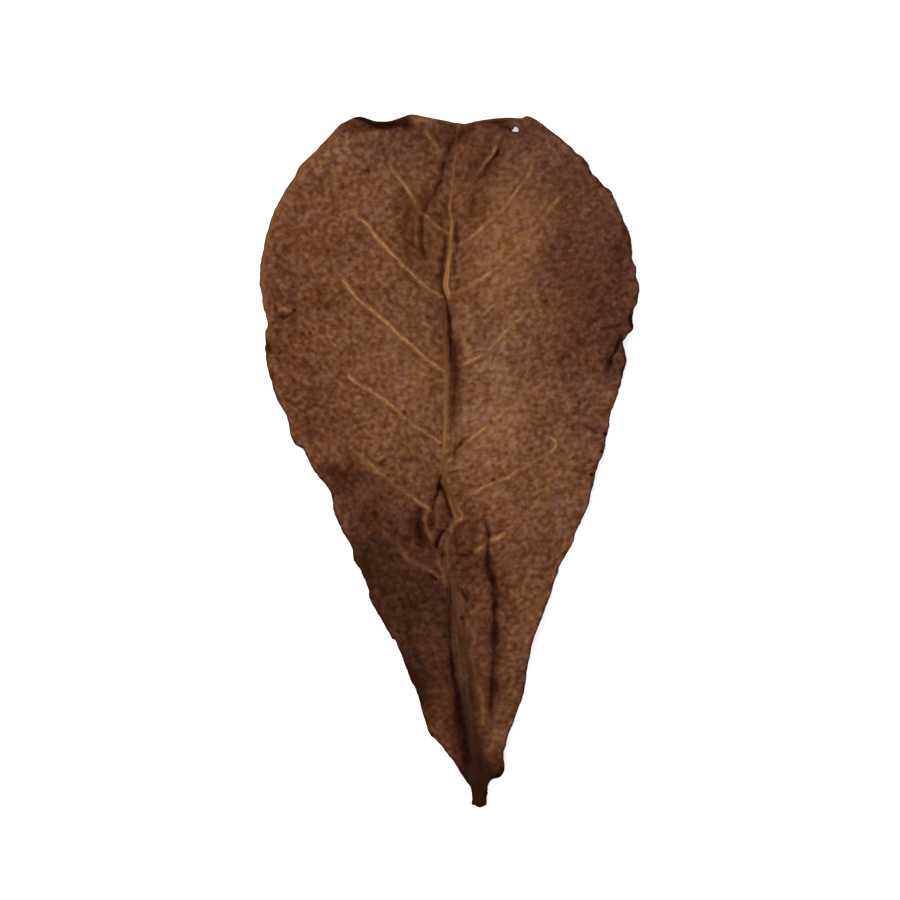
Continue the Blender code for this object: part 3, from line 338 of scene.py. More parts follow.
# The midrib down the leaf: y, half width in mm, how tan, how dark, how much its own streaks hide the blade's mottling,
# and how orange; the tan is the rib's own colour, with a painted highlight where it peaks about y 282 to 290
RIB_LOOK = (
    (118, 0.50, 0.10, 0.20, 0.1, 0.0), (140, 0.50, 0.10, 0.10, 0.1, 0.3), (160, 0.50, 0.18, 0.00, 0.2, 0.3), (172, 0.50, 0.25, 0.00, 0.2, 0.3),
    (183, 0.50, 0.35, 0.00, 0.2, 0.2), (190, 0.50, 0.12, 0.00, 0.2, 0.3), (196, 0.52, 0.35, 0.00, 0.2, 0.3), (205, 0.55, 0.50, 0.00, 0.3, 0.3),
    (214, 0.58, 0.46, 0.00, 0.3, 0.3), (226, 0.66, 0.72, 0.00, 0.3, 0.3), (233, 0.68, 0.76, 0.00, 0.3, 0.3), (240, 0.64, 0.52, 0.00, 0.3, 0.3), (252, 0.70, 0.60, 0.00, 0.3, 0.3), (266, 0.74, 0.85, 0.00, 0.3, 0.3),
    (282, 0.88, 1.30, 0.00, 0.4, 0.3), (290, 0.92, 1.25, 0.00, 0.4, 0.3), (300, 0.85, 0.40, 0.05, 0.4, 0.4), (310, 0.95, 0.10, 0.10, 0.4, 0.5),
    (330, 1.05, 0.04, 0.02, 0.3, 0.9), (345, 0.95, 0.10, 0.00, 0.2, 0.9), (360, 0.85, 0.25, 0.00, 0.2, 0.7), (375, 0.75, 0.48, 0.00, 0.2, 0.6),
    (400, 0.70, 0.58, 0.00, 0.2, 0.6), (430, 0.68, 0.56, 0.00, 0.2, 0.6), (448, 0.66, 0.44, 0.00, 0.2, 0.6), (458, 0.70, 0.10, 0.00, 0.2, 0.6),
    (470, 0.74, 0.02, 0.00, 0.2, 0.8), (488, 0.95, 0.00, 0.00, 0.2, 0.85), (500, 1.05, 0.02, 0.00, 0.2, 0.9), (516, 0.95, 0.10, 0.00, 0.2, 0.7),
    (524, 0.80, 0.05, 0.05, 0.4, 0.3), (532, 0.90, 0.02, 0.08, 0.5, 0.1), (560, 1.00, 0.02, 0.10, 0.6, 0.0), (585, 1.40, 0.04, 0.04, 0.7, 0.0),
    (610, 2.00, 0.02, 0.06, 0.8, 0.0), (650, 2.40, 0.00, 0.12, 0.8, 0.0), (685, 2.60, 0.00, 0.25, 0.8, 0.0), (720, 2.60, 0.00, 0.50, 0.8, 0.0),
    (748, 2.90, 0.00, 0.75, 0.9, 0.0), (768, 4.50, 0.00, 1.00, 1.0, 0.0), (790, 4.20, 0.00, 1.00, 1.0, 0.0), (812, 4.00, 0.00, 1.00, 1.0, 0.0),
)  # fmt: skip
RIB_HEIGHT = (
    (-101, 1.5), (-92, 1.6), (-78, 2.3), (-60, 2.9), (-40, 2.3), (-18, 1.3),
    (0, 0.9), (25, 0.85), (46, 0.95), (64, 2.0), (80, 3.9), (92, 5.4), (102, 6.0),
)  # fmt: skip
RIB_SECTION = (
    (-101, 2.0, 1.25, 1.15), (-92, 2.1, 1.25, 1.20), (-84, 3.0, 1.00, 1.40),
    (-70, 2.3, 0.55, 1.50), (-45, 1.6, 0.40, 1.25), (-10, 1.15, 0.30, 1.10),
    (30, 1.0, 0.30, 0.90), (60, 0.9, 0.25, 0.70), (100, 0.7, 0.15, 0.35),
)  # fmt: skip


# ------------------------------------------------------------------ plan geometry
def plan(points):
    p = np.array(points, float)
    return np.stack([(p[:, 0] - DATUM[0]) * STEP, (DATUM[1] - p[:, 1]) * STEP], 1)


def smooth(points, each=8):
    p = np.array(points, float)
    p = np.vstack([2 * p[0] - p[1], p, 2 * p[-1] - p[-2]])
    t = np.linspace(0, 1, each, endpoint=False)[:, None]
    runs = [
        0.5
        * (
            2 * b
            + (c - a) * t
            + (2 * a - 5 * b + 4 * c - d) * t**2
            + (3 * b - a - 3 * c + d) * t**3
        )
        for a, b, c, d in zip(p, p[1:], p[2:], p[3:])
    ]
    return np.vstack(runs + [p[-2:-1]])


def length_of(line):
    return np.concatenate([[0], np.cumsum(np.hypot(*np.diff(line, axis=0).T))])


def spaced(line, step):
    run = length_of(line)
    s = np.linspace(0, run[-1], max(2, round(run[-1] / step) + 1))
    return np.stack([np.interp(s, run, line[:, 0]), np.interp(s, run, line[:, 1])], 1)


def beside(line, off):
    """The line moved sideways, to the right of its run where off is positive."""
    d = np.gradient(line, axis=0)
    d /= np.maximum(np.hypot(*d.T), 1e-9)[:, None]
    return line + off * np.stack([d[:, 1], -d[:, 0]], 1)


def ease(t):
    t = np.clip(t, 0, 1)
    return t * t * (3 - 2 * t)


def bell(t):
    return np.exp(-(t**2))


def nearest(x, y, line, reach=None):
    """Distance to a line, how far along it the nearest point is (0 to 1), and the side: positive to the right of its run.

    With a reach, points that are further than that from the line's box are left far away."""
    if reach is not None:
        low, high = line.min(axis=0) - reach, line.max(axis=0) + reach
        near = (x > low[0]) & (x < high[0]) & (y > low[1]) & (y < high[1])
        found = np.full(x.shape, 1e9), np.zeros(x.shape), np.zeros(x.shape)
        for whole, part in zip(found, nearest(x[near], y[near], line)):
            whole[near] = part
        return found
    best = np.full(x.shape, 1e9)
    along, side = np.zeros(x.shape), np.zeros(x.shape)
    lengths = np.hypot(*np.diff(line, axis=0).T)
    before = np.concatenate([[0], np.cumsum(lengths)])
    for k, length in enumerate(lengths):
        if length < 1e-9:
            continue
        d = (line[k + 1] - line[k]) / length
        t = np.clip((x - line[k, 0]) * d[0] + (y - line[k, 1]) * d[1], 0, length)
        ex, ey = x - line[k, 0] - t * d[0], y - line[k, 1] - t * d[1]
        gap = np.hypot(ex, ey)
        closer = gap < best
        best = np.where(closer, gap, best)
        along = np.where(closer, (before[k] + t) / before[-1], along)
        side = np.where(closer, np.sign(ex * d[1] - ey * d[0]), side)
    return best, along, side


def lattice(i, j, seed):
    """A fixed pseudo-random number from 0 to 1 for each pair of whole numbers."""
    h = np.sin(i * 127.1 + j * 311.7 + seed * 74.7) * 43758.5453
    return h - np.floor(h)


def grain(x, y, size, seed):
    """Smooth noise from -1 to 1 with features of about this size in mm."""
    u, v = x / size, y / size
    i, j = np.floor(u), np.floor(v)
    a, b = ease(u - i), ease(v - j)
    n = [[lattice(i + p, j + q, seed) for q in (0, 1)] for p in (0, 1)]
    return 2 * ((n[0][0] * (1 - a) + n[1][0] * a) * (1 - b) + (n[0][1] * (1 - a) + n[1][1] * a) * b) - 1


def rough(x, y, size, seed, layers=3):
    total, weight = 0, 0
    for k in range(layers):
        c, s = math.cos(0.6 + k), math.sin(0.6 + k)
        total = total + grain(c * x + s * y + 31 * k, c * y - s * x - 17 * k, size / 2**k, seed + k) / 1.7**k
        weight += 1 / 1.7**k
    return total / weight


def cells(x, y, size, seed):
    """How far inside its cell each point is: 0 on the lines between cells, in mm."""
    u, v = x / size, y / size
    i, j = np.floor(u), np.floor(v)
    first, second = np.full(x.shape, 9.0), np.full(x.shape, 9.0)
    for p in (-1, 0, 1):
        for q in (-1, 0, 1):
            cx = i + p + lattice(i + p, j + q, seed)
            cy = j + q + lattice(i + p, j + q, seed + 5)
            d = np.hypot(cx - u, cy - v)
            second = np.minimum(second, np.maximum(first, d))
            first = np.minimum(first, d)
    return (second - first) * size / 2


LEFT = smooth(plan(LEFT_MARGIN), 6)
RIGHT = smooth(plan(RIGHT_MARGIN), 6)
CREST_LINE = smooth(plan(CREST), 6)
RIB_LINE = smooth(plan(MIDRIB), 8)
VEIN_LINES = []
for vein, share in zip(SIDE_VEINS, VEIN_SHARES):
    run = smooth(np.column_stack([plan([p[:2] for p in vein]), [p[2] for p in vein]]), 5)
    VEIN_LINES.append((run[:, :2], np.clip(share * run[:, 2], 0, 1.3)))
PLEAT_RUN = smooth(plan(PLEAT_LINE), 5)
CREASE_LINES = []
for crease in CREASES:
    run = [(*at[:2], *(at[2:] or (1.0, 1.0))) for at in crease[0]]
    run = smooth(np.column_stack([plan([at[:2] for at in run]), [at[2:] for at in run]]), 5)
    CREASE_LINES.append((run[:, :2], run[:, 2:], *crease[1:]))
RIDGE_LINES = [(smooth(plan(c[0]), 5), *c[1:]) for c in RIDGES]
LIP_RUN = smooth(plan(LIP), 5)
CURL_X = [(x - DATUM[0]) * STEP for x in CURL_ENDS]
RIB_Z = smooth(RIB_HEIGHT, 6)
RIB_S = smooth(RIB_SECTION, 6)


def rib_x(y):
    order = np.argsort(RIB_LINE[:, 1])
    return np.interp(y, RIB_LINE[order, 1], RIB_LINE[order, 0])


def rib_section(y):
    return [np.interp(y, RIB_S[:, 0], RIB_S[:, k]) for k in (1, 2, 3)]


def curl_share(x):
    u = np.clip((x - CURL_X[0]) / (CURL_X[1] - CURL_X[0]), 0, 1)
    return 1 - (2 * u - 1) ** 4


def crest_y(x):
    return np.interp(x, CREST_LINE[:, 0], CREST_LINE[:, 1])


def curl_radius(x):
    loose = CURL_RADIUS * (1 + 0.14 * np.sin(x / 7.5 + 0.6))
    return 0.5 + (loose - 0.5) * curl_share(x) * (1 - 0.25 * np.exp(-((x / 7) ** 2)))


def curl_reach(x):
    point = TIP_REACH * np.exp(-((np.abs(x - 1.5) / 13) ** 1.6))
    ragged = 1 + 0.05 * np.sin(x / 1.9) + 0.05 * np.sin(x / 3.4 + 1)
    return (CURL_REACH + point) * curl_share(x) * ragged


# ------------------------------------------------------------------ height of the blade
def blade_height(x, y):
    q = x - rib_x(y)
    left, left_run, _ = nearest(x, y, LEFT)
    right, right_run, _ = nearest(x, y, RIGHT)
    margin = np.where(q < 0, left, right)
    out = np.maximum(np.abs(q) - 0.6 * rib_section(y)[0], 0)
    half = out + margin
    r = out / (half + 1e-6)

    rib = np.interp(y, RIB_Z[:, 0], RIB_Z[:, 1])
    share = np.where(q < 0, ARCH_LEFT, ARCH_RIGHT) * (1 - 0.45 * ease((y - 66) / 34))
    z = rib * (1 - 0.75 * r**2) + share * half * np.sin(math.pi * r**0.9)

    wave_left = 0.5 + 0.5 * np.sin(2 * math.pi * (y / 47 + 0.10)) + 0.18 * np.sin(y / 3.1)
    wave_right = (
        0.5 + 0.5 * np.sin(2 * math.pi * (y / 40 + 0.42)) + 0.18 * np.sin(y / 2.7 + 1)
    )
    wave = np.where(q < 0, wave_left, wave_right)
    z = z + (MARGIN_WAVE * wave - MARGIN_PRESS) * r**3 * ease(half / 14)

    vein = np.full(x.shape, 1e9)
    for line, _ in VEIN_LINES:
        vein = np.minimum(vein, nearest(x, y, line, 14)[0])
    quiet = ease(np.abs(q) / 8) * ease(margin / 6)
    z = z + PILLOW * (1 - np.exp(-((vein / 5) ** 2))) * quiet

    buckle = (
        0.50 * np.sin(0.21 * x + 0.12 * y + 1.3) * np.sin(0.17 * y - 0.10 * x + 0.4)
        + 0.35 * np.sin(0.33 * x - 0.24 * y + 2.1)
        + 0.25 * np.sin(0.47 * y + 0.19 * x)
    )
    z = z + buckle * ease(np.abs(q) / 12) * ease(margin / 8) * ease(half / 18)

    run = ease((y - 5) / 8) * ease((50 - y) / 8)
    z = z - GROOVE * np.exp(-(((q - 2.6) / 1.8) ** 2)) * run

    gap, along, side = nearest(x, y, PLEAT_RUN)
    off = gap * side
    lip = np.where(off < 0, np.exp(off / 5.5), -0.6 * np.exp(-off / 6.0))
    soft = np.tanh(np.abs(off) / 0.35)
    run = ease(along / 0.18) * ease((1 - along) / 0.2)
    z = z + PLEAT * lip * (0.15 + 0.85 * soft) * run * ease(margin / 5)

    # small ruffles of the margin, and the crumple of the dried blade
    s = np.where(q < 0, left_run * 230, right_run * 235 + 60)
    ruffle = np.sin(s / 0.95 + 2.2 * np.sin(s / 5.3)) + 0.6 * np.sin(s / 0.52 + 1.5 * np.sin(s / 3.1))
    ruffle = ruffle * (0.62 + 0.38 * np.sin(s / 6.1 + 1.9 * np.sin(s / 17.0)))
    z = z + 0.32 * ruffle * np.exp(-((margin / 1.7) ** 1.3)) * ease(half / 9)
    crumple = 0.22 * rough(x, y, 9.0, 3, 3) + 0.10 * rough(x, y, 3.6, 11, 2)
    z = z + crumple * ease(np.abs(q) / 3) * (0.35 + 0.65 * ease(margin / 4))
    painted_shade, depth, pale, lift = crease_facts(x, y)
    return z - depth + lift


def crease_facts(x, y):
    """How deep the creases are and how dark the painted shade in them, and how high the ridges are and how pale the
    painted highlight on them, at each point; the shaded lip at the tip gets painted shade too.
    """
    painted_shade, depth = np.zeros(x.shape), np.zeros(x.shape)
    lip_x, lip_y = x, y
    x, y = (v + 0.24 * grain(x, y, 1.5, 71 + k) + 0.13 * grain(x, y, 0.75, 75 + k) for k, v in enumerate((x, y)))
    for n, (line, shares, wide, deep, shade_strength, start, end) in enumerate(CREASE_LINES):
        gap, along, _ = nearest(x, y, line, 7)
        run = ease((along + 0.02) / (start + 0.02)) * ease((1.02 - along) / (end + 0.02))
        s = along * length_of(line)[-1]
        knots = length_of(line) / length_of(line)[-1]
        wide = wide * np.interp(along, knots, shares[:, 0])
        wide = wide * (1 + 0.25 * grain(s, 0 * s, 2.1, 60 + n) + 0.15 * grain(s, 0 * s, 0.9, 90 + n)) * (0.5 + 0.5 * run)
        shade_strength = shade_strength * np.interp(along, knots, shares[:, 1]) * (1 + 0.16 * grain(s, 0 * s, 1.6, 120 + n))
        painted_shade = np.maximum(painted_shade, shade_strength * run * (0.72 * bell(gap / (0.94 * wide)) + 0.28 * bell(gap / (2.1 * wide))))
        depth = np.maximum(depth, deep * run * bell(gap / (0.9 * wide)))
    pale, lift = np.zeros(x.shape), np.zeros(x.shape)
    for line, wide, high, light, start, end in RIDGE_LINES:
        gap, along, _ = nearest(x, y, line, 5)
        run = ease((along + 0.02) / (start + 0.02)) * ease((1.02 - along) / (end + 0.02))
        pale = np.maximum(pale, light * run * bell(gap / (0.8 * wide)))
        lift = np.maximum(lift, high * run * bell(gap / wide))
    x, y = 0.4 * lip_x + 0.6 * x, 0.4 * lip_y + 0.6 * y
    lip = np.interp(x, LIP_RUN[:, 0], LIP_RUN[:, 1])
    span = ease((x - LIP_RUN[0, 0]) / 1.2) * ease((LIP_RUN[-1, 0] - x) / 2.4)
    turned = 1 - 0.8 * ease((y - crest_y(x) - 0.8) / 2.2)
    painted_shade = np.maximum(painted_shade, (0.88 - 0.14 * ease((x - LIP_RUN[0, 0]) / 2 - 5.6)) * span * turned * ease((y - lip + 0.65) / 1.5))
    return painted_shade, depth, pale, lift


CURL_TABLE = np.linspace(CURL_X[0] - 1, CURL_X[1] + 1, 400)
CURL_HIGH = blade_height(CURL_TABLE, crest_y(CURL_TABLE) - curl_radius(CURL_TABLE))


def leaf_point(x, y):
    crest = crest_y(x)
    radius = curl_radius(x)
    high = np.interp(x, CURL_TABLE, CURL_HIGH)
    radius = np.minimum(radius, 0.5 * (high - 0.9))
    radius = np.maximum(radius, 0.45)
    bend = np.where((x > CURL_X[0]) & (x < CURL_X[1]), crest - radius, 1e3)
    z = blade_height(x, np.minimum(y, bend))
    turn = np.maximum(y - bend, 0) / radius
    past = y > bend
    return np.stack(
        [
            x,
            np.where(past, bend + radius * np.sin(turn), y),
            np.where(past, z - radius * (1 - np.cos(turn)), z),
        ],
        1,
    )


# ------------------------------------------------------------------ mesh of the leaf
def flat_outline():
    side = spaced(np.vstack([LEFT, plan(STALK_END), RIGHT]), MARGIN_STEP)
    # the margin is nibbled a little all the way round, less on the stalk
    k = length_of(side)
    soft = ease((side[:, 1] + 94) / 6) * ease((k - 2) / 4) * ease((k[-1] - 2 - k) / 4)
    side = beside(side, 0) + (beside(side, 1) - side) * (
        soft * (0.13 * grain(k, 0 * k, 1.7, 21) + 0.10 * grain(k, 0 * k, 0.9, 22))
    )[:, None]
    top = np.linspace(RIGHT[-1, 0], LEFT[0, 0], 400)
    tip = spaced(np.stack([top, crest_y(top) + curl_reach(top)], 1), MARGIN_STEP)
    return np.vstack([side, tip[1:-1]])


def inside(points, outline):
    x, y = points[:, 0], points[:, 1]
    found = np.zeros(len(points), bool)
    for a, b in zip(outline, np.roll(outline, -1, axis=0)):
        if a[1] == b[1]:
            continue
        across = (a[1] > y) != (b[1] > y)
        found ^= across & (x < (b[0] - a[0]) * (y - a[1]) / (b[1] - a[1]) + a[0])
    return found


def hexagonal(step, low, high):
    rows = np.arange(low[1], high[1], step * math.sqrt(3) / 2)
    columns = np.arange(low[0], high[0], step)
    x, y = np.meshgrid(columns, rows)
    x = x + 0.5 * step * (np.arange(len(rows)) % 2)[:, None]
    return np.stack([x.ravel(), y.ravel()], 1)


def spread_out(points, taken, size, reach, add=False):
    """Which of the points are further than reach from all that are taken; these may be added to the taken ones."""
    kept = np.ones(len(points), bool)
    for n, (px, py) in enumerate(points.tolist()):
        i, j = int(px // size), int(py // size)
        for a in (i - 1, i, i + 1):
            for b in (j - 1, j, j + 1):
                for qx, qy in taken.get((a, b), ()):
                    if (px - qx) ** 2 + (py - qy) ** 2 < reach * reach:
                        kept[n] = False
                        break
                if not kept[n]:
                    break
            if not kept[n]:
                break
    if add:
        for px, py in points[kept].tolist():
            taken.setdefault((int(px // size), int(py // size)), []).append((px, py))
    return kept


def flat_mesh(outline, hole, step, guides):
    """Points and triangles of one face of the flat blade, and its border points: the outline's, then the hole's."""
    closed = np.vstack([outline, outline[:1]])
    lined, taken, size = [np.zeros((0, 2))], {}, 0.62 * step
    for line, offsets in guides:
        for off in offsets:
            run = beside(spaced(line, 0.8 * step), off)
            lined.append(run[spread_out(run, taken, size, 0.45 * step, add=True)])
    lined = np.vstack(lined)
    lined = lined[inside(lined, outline)]
    lined = lined[nearest(lined[:, 0], lined[:, 1], closed)[0] > 0.35]
    cloud = hexagonal(step, outline.min(axis=0), outline.max(axis=0))
    cloud = cloud[inside(cloud, outline)]
    cloud = cloud[nearest(cloud[:, 0], cloud[:, 1], closed)[0] > 0.5 * step]
    cloud = cloud[spread_out(cloud, taken, size, size)]
    inner = np.vstack([lined, cloud])
    around = np.vstack([hole, hole[:1]])
    inner = inner[(nearest(inner[:, 0], inner[:, 1], around)[0] > 0.2) & ~inside(inner, hole)]
    points = np.vstack([outline, hole, inner])
    n, m = len(outline), len(hole)
    vertices, _, faces, came_from, _, _ = delaunay_2d_cdt(
        [Vector(p) for p in points], [(n + k, n + (k + 1) % m) for k in range(m)], [list(range(n))], 1, 1e-6
    )
    place = {olds[0]: new for new, olds in enumerate(came_from) if olds}
    border = np.array([place[k] for k in range(n + m)])
    flat = np.array([v[:] for v in vertices])
    tri = np.array([f[:] for f in faces])
    tri = tri[~inside(flat[tri].mean(axis=1), hole)]
    a, b, c = (flat[tri[:, k]] for k in range(3))
    backward = np.cross(b - a, c - a) < 0
    tri[backward] = tri[backward][:, ::-1]
    return flat, tri, border


def normals_of(points, tri):
    a, b, c = (points[tri[:, k]] for k in range(3))
    facing = np.cross(b - a, c - a)
    normal = np.zeros_like(points)
    for k in range(3):
        for axis in range(3):
            normal[:, axis] += np.bincount(tri[:, k], facing[:, axis], len(points))
    return normal / np.linalg.norm(normal, axis=1)[:, None]


def surface_facts(x, y, outline):
    """What the relief and the colours need to know at each point of the flat blade."""
    closed = np.vstack([outline, outline[:1]])
    facts = {"q": x - rib_x(y), "edge": nearest(x, y, closed)[0]}
    best, strength = np.full(x.shape, 9.0), np.zeros(x.shape)
    wx, wy = (v + 0.17 * grain(x, y, 1.3, 171 + k) + 0.09 * grain(x, y, 0.7, 175 + k) for k, v in enumerate((x, y)))
    for line, strong in VEIN_LINES:
        gap, along, _ = nearest(wx, wy, line, 9)
        run = length_of(line)
        s = np.interp(along, run / run[-1], strong) * (along > 1e-4) * (along < 1 - 1e-4)
        closer = gap < best
        best, strength = np.where(closer, gap, best), np.where(closer, s, strength)
    facts["vein"], facts["vein_s"] = best, strength
    facts["painted_shade"], _, facts["pale"], _ = crease_facts(x, y)

    facts["tone_and_shade"], facts["red"], facts["grey"] = np.zeros(x.shape), np.zeros(x.shape), np.zeros(x.shape)
    for px, py, rx, ry, light, red, grey in PATCHES:
        cx, cy = plan([(px, py)])[0]
        near = bell(np.hypot((x - cx) / (rx * STEP), (y - cy) / (ry * STEP)) ** 1.3)
        facts["tone_and_shade"] += light * near
        facts["red"] += red * near
        facts["grey"] += grey * near
    facts["mottled"] = np.ones(x.shape)
    for px, py, rx, ry, more in MOTTLING:
        cx, cy = plan([(px, py)])[0]
        facts["mottled"] += more * bell(np.hypot((x - cx) / (rx * STEP), (y - cy) / (ry * STEP)) ** 1.3)
    look = np.array(RIB_LOOK)
    down = (DATUM[1] - look[::-1, 0]) * STEP
    for name, column in (("rib_w", 1), ("rib_tan", 2), ("rib_dark", 3), ("rib_own", 4), ("rib_warm", 5)):
        facts[name] = np.interp(y, down, look[::-1, column])
    return facts


def under_veins(x, y):
    """Distance to the nearest side vein and how thick it is there, on the underside, where each runs unbroken from the midrib."""
    best, strength = np.full(x.shape, 9.0), np.zeros(x.shape)
    for line, _ in VEIN_LINES:
        away = abs(line[0, 0] - rib_x(line[0, 1]))
        down = line[0, 1] - 0.9 * away - 0.3
        run = np.vstack([[(rib_x(down), down), (0.5 * (rib_x(down) + line[0, 0]), line[0, 1] - 0.38 * away)], line])
        gap, along, _ = nearest(x + 0.15 * grain(x, y, 2.0, 181), y + 0.15 * grain(x, y, 2.0, 182), run, 9)
        closer = gap < best
        best, strength = np.where(closer, gap, best), np.where(closer, 1 - 0.9 * along**1.3, strength)
    return best, strength


# Where the curl at the tip is, which is lifted clear of the floor
def curled(flat):
    return flat[:, 1] > crest_y(flat[:, 0]) - curl_radius(flat[:, 0]) - 0.5


def leaf_surface():
    outline = flat_outline()
    guides = [(RIB_LINE, (0, -0.45, 0.45, -0.9, 0.9, -1.4, 1.4))]
    guides += [(line, (0, -0.32, 0.32)) for line, _ in VEIN_LINES]
    guides += [(line, (0, -0.35, 0.35)) for line, _, _, deep, *_ in CREASE_LINES if deep > 0.22]
    guides += [(line, (0, -0.35, 0.35)) for line, _, high, *_ in RIDGE_LINES if high > 0.18]
    hole = spaced(smooth(plan(HOLE + HOLE[:1]), 6), 0.22)[:-1]  # clockwise, seen from above
    upper_flat, upper_tri, upper_border = flat_mesh(outline, hole, UPPER_STEP, guides)
    lower_flat, lower_tri, lower_border = flat_mesh(outline, hole, LOWER_STEP, guides[:1])

    sheets = []
    for flat, tri, sign in ((upper_flat, upper_tri, 1), (lower_flat, lower_tri, -1)):
        x, y = flat[:, 0], flat[:, 1]
        middle = leaf_point(x, y)
        f = surface_facts(x, y, outline)
        # the margin settles on the floor in a rounded dip, not in a straight cut
        under = np.clip(middle[:, 2] - RIM / 2, -8, 8)
        settle = (1 - ease((f["edge"] - 7) / 9)) * ease((crest_y(x) - curl_radius(x) - 1 - y) / 4)
        middle[:, 2] += (SETTLE * np.log1p(np.exp(-under / SETTLE)) - 0.30 * bell(np.maximum(under, 0) / 1.5)) * settle
        normal = normals_of(middle, tri)
        width, up, down = rib_section(y)
        ratio = f["q"] / (width * 1.02)
        round_off = np.sqrt(np.clip(1 - ratio**2, 0, 1))
        thick = RIM + (BLADE - RIM) * ease(f["edge"] / 2)
        net = bell(cells(x + 0.5 * grain(x, y, 2.3, 31), y + 0.5 * grain(x, y, 2.3, 32), 1.9, 41) / 0.22)
        pebble = rough(x, y, 1.6, 51, 2)
        calm = 1 - round_off
        if sign > 0:
            relief = up * round_off + 0.24 * f["vein_s"] * bell(f["vein"] / 0.48) - 0.06 * f["vein_s"] * bell((f["vein"] - 1.1) / 0.40)
            relief = relief + calm * (0.05 * pebble + 0.02 * net)
        else:
            f["vein"], f["vein_s"] = under_veins(x, y)
            relief = down * round_off + 0.42 * f["vein_s"] * bell(f["vein"] / (0.25 + 0.3 * f["vein_s"]))
            relief = relief + calm * (0.03 * pebble + 0.05 * net)
        f["net"], f["pebble"] = net, pebble
        sheets.append((middle + sign * normal * (thick / 2 + relief)[:, None], f))
    (upper, upper_facts), (lower, lower_facts) = sheets

    # nothing sinks into the floor
    lower[:, 2] = np.maximum(lower[:, 2], 0)
    upper[:, 2] = np.where(curled(upper_flat), np.maximum(upper[:, 2], 0.02), np.maximum(upper[:, 2], THINNEST))

    n = len(upper)
    walls = []
    for first, count in ((0, len(outline)), (len(outline), len(hole))):
        for k in range(count):
            here, after = first + k, first + (k + 1) % count
            i, j, p, r = upper_border[here], upper_border[after], lower_border[here] + n, lower_border[after] + n
            walls += [(j, i, p), (j, p, r)]
    faces = np.vstack([upper_tri, lower_tri[:, ::-1] + n, np.array(walls)])
    points = np.vstack([upper, lower])
    facts = {k: np.concatenate([upper_facts[k], lower_facts[k]]) for k in upper_facts}
    facts["flat"] = np.vstack(
        [
            np.column_stack([upper_flat, np.zeros(len(upper_flat))]),
            np.column_stack([lower_flat, np.full(len(lower_flat), 40.0)]),
        ]
    )
    facts["under"] = np.concatenate([np.zeros(len(upper_flat)), np.ones(len(lower_flat))])
    return points, faces, facts


points, faces, facts = leaf_surface()
mesh = bpy.data.meshes.new("leaf_surface")
mesh.vertices.add(len(points))
mesh.vertices.foreach_set("co", (points / 1000).ravel())
mesh.loops.add(3 * len(faces))
mesh.loops.foreach_set("vertex_index", faces.ravel().astype(np.int32))
mesh.polygons.add(len(faces))
mesh.polygons.foreach_set("loop_start", np.arange(0, 3 * len(faces), 3, dtype=np.int32))
mesh.update(calc_edges=True)
mesh.validate()
mesh.shade_smooth()
mesh.set_sharp_from_angle(angle=math.radians(60))
print("leaf_surface:", len(points), "points", len(faces), "triangles")


def store(name, values):
    vector = np.ndim(values) == 2
    layer = mesh.attributes.new(name, "FLOAT_VECTOR" if vector else "FLOAT", "POINT")
    layer.data.foreach_set("vector" if vector else "value", np.asarray(values, np.float32).ravel())


store("flat", facts["flat"])
store("vein", np.clip(facts["vein"], 0, 3))
store("vein_s", facts["vein_s"])
store("rib", np.clip(facts["q"], -8, 8))
store("edge", np.clip(facts["edge"], 0, 6))
store("under", facts["under"])
for name in ("painted_shade", "pale", "tone_and_shade", "red", "grey", "rib_w", "rib_tan", "rib_dark", "rib_own", "rib_warm", "pebble", "net", "mottled"):
    store(name, facts[name])

leaf = bpy.data.objects.new("leaf_surface", mesh)
bpy.context.scene.collection.objects.link(leaf)
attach(leaf, "root")
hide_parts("leaf")


# ------------------------------------------------------------------ finish
material = bpy.data.materials.new("dried_leaf_finish")
material.use_nodes = True
tree = material.node_tree


def node(kind, inputs=None, **settings):
    made = tree.nodes.new(kind)
    for key, value in settings.items():
        setattr(made, key, value)
    for key, value in (inputs or {}).items():
        if isinstance(value, bpy.types.NodeSocket):
            tree.links.new(value, made.inputs[key])
        else:
            made.inputs[key].default_value = value
    return made


def value_of(name):
    return node("ShaderNodeAttribute", attribute_name=name).outputs["Fac"]


def calc(operation, a, b=0.0, c=0.0, clamp=False):
    made = node("ShaderNodeMath", {0: a, 1: b, 2: c}, operation=operation, use_clamp=clamp)
    return made.outputs[0]


def band(value, low, high, out_low=0.0, out_high=1.0):
    """Smoothly from out_low where value is at low to out_high where it is at high."""
    made = node(
        "ShaderNodeMapRange",
        {"Value": value, "From Min": low, "From Max": high, "To Min": out_low, "To Max": out_high},
        interpolation_type="SMOOTHSTEP",
    )
    return made.outputs["Result"]


def noise(at, size, detail=2.0, roughness=0.5, distortion=0.0):
    """Noise from 0 to 1 whose features are about this size in mm."""
    made = node(
        "ShaderNodeTexNoise",
        {"Vector": at, "Scale": 1 / size, "Detail": detail, "Roughness": roughness, "Distortion": distortion},
    )
    return made.outputs["Fac"]


def moved(at, by):
    return node("ShaderNodeVectorMath", {0: at, 1: by}, operation="ADD").outputs["Vector"]


def blend(share, a, b, mode="MIX"):
    made = node("ShaderNodeMix", data_type="RGBA", blend_type=mode)
    for socket, given in ((made.inputs[0], share), (made.inputs[6], a), (made.inputs[7], b)):
        if isinstance(given, bpy.types.NodeSocket):
            tree.links.new(given, socket)
        elif isinstance(given, tuple):
            socket.default_value = (*given, 1)
        else:
            socket.default_value = given
    return made.outputs[2]


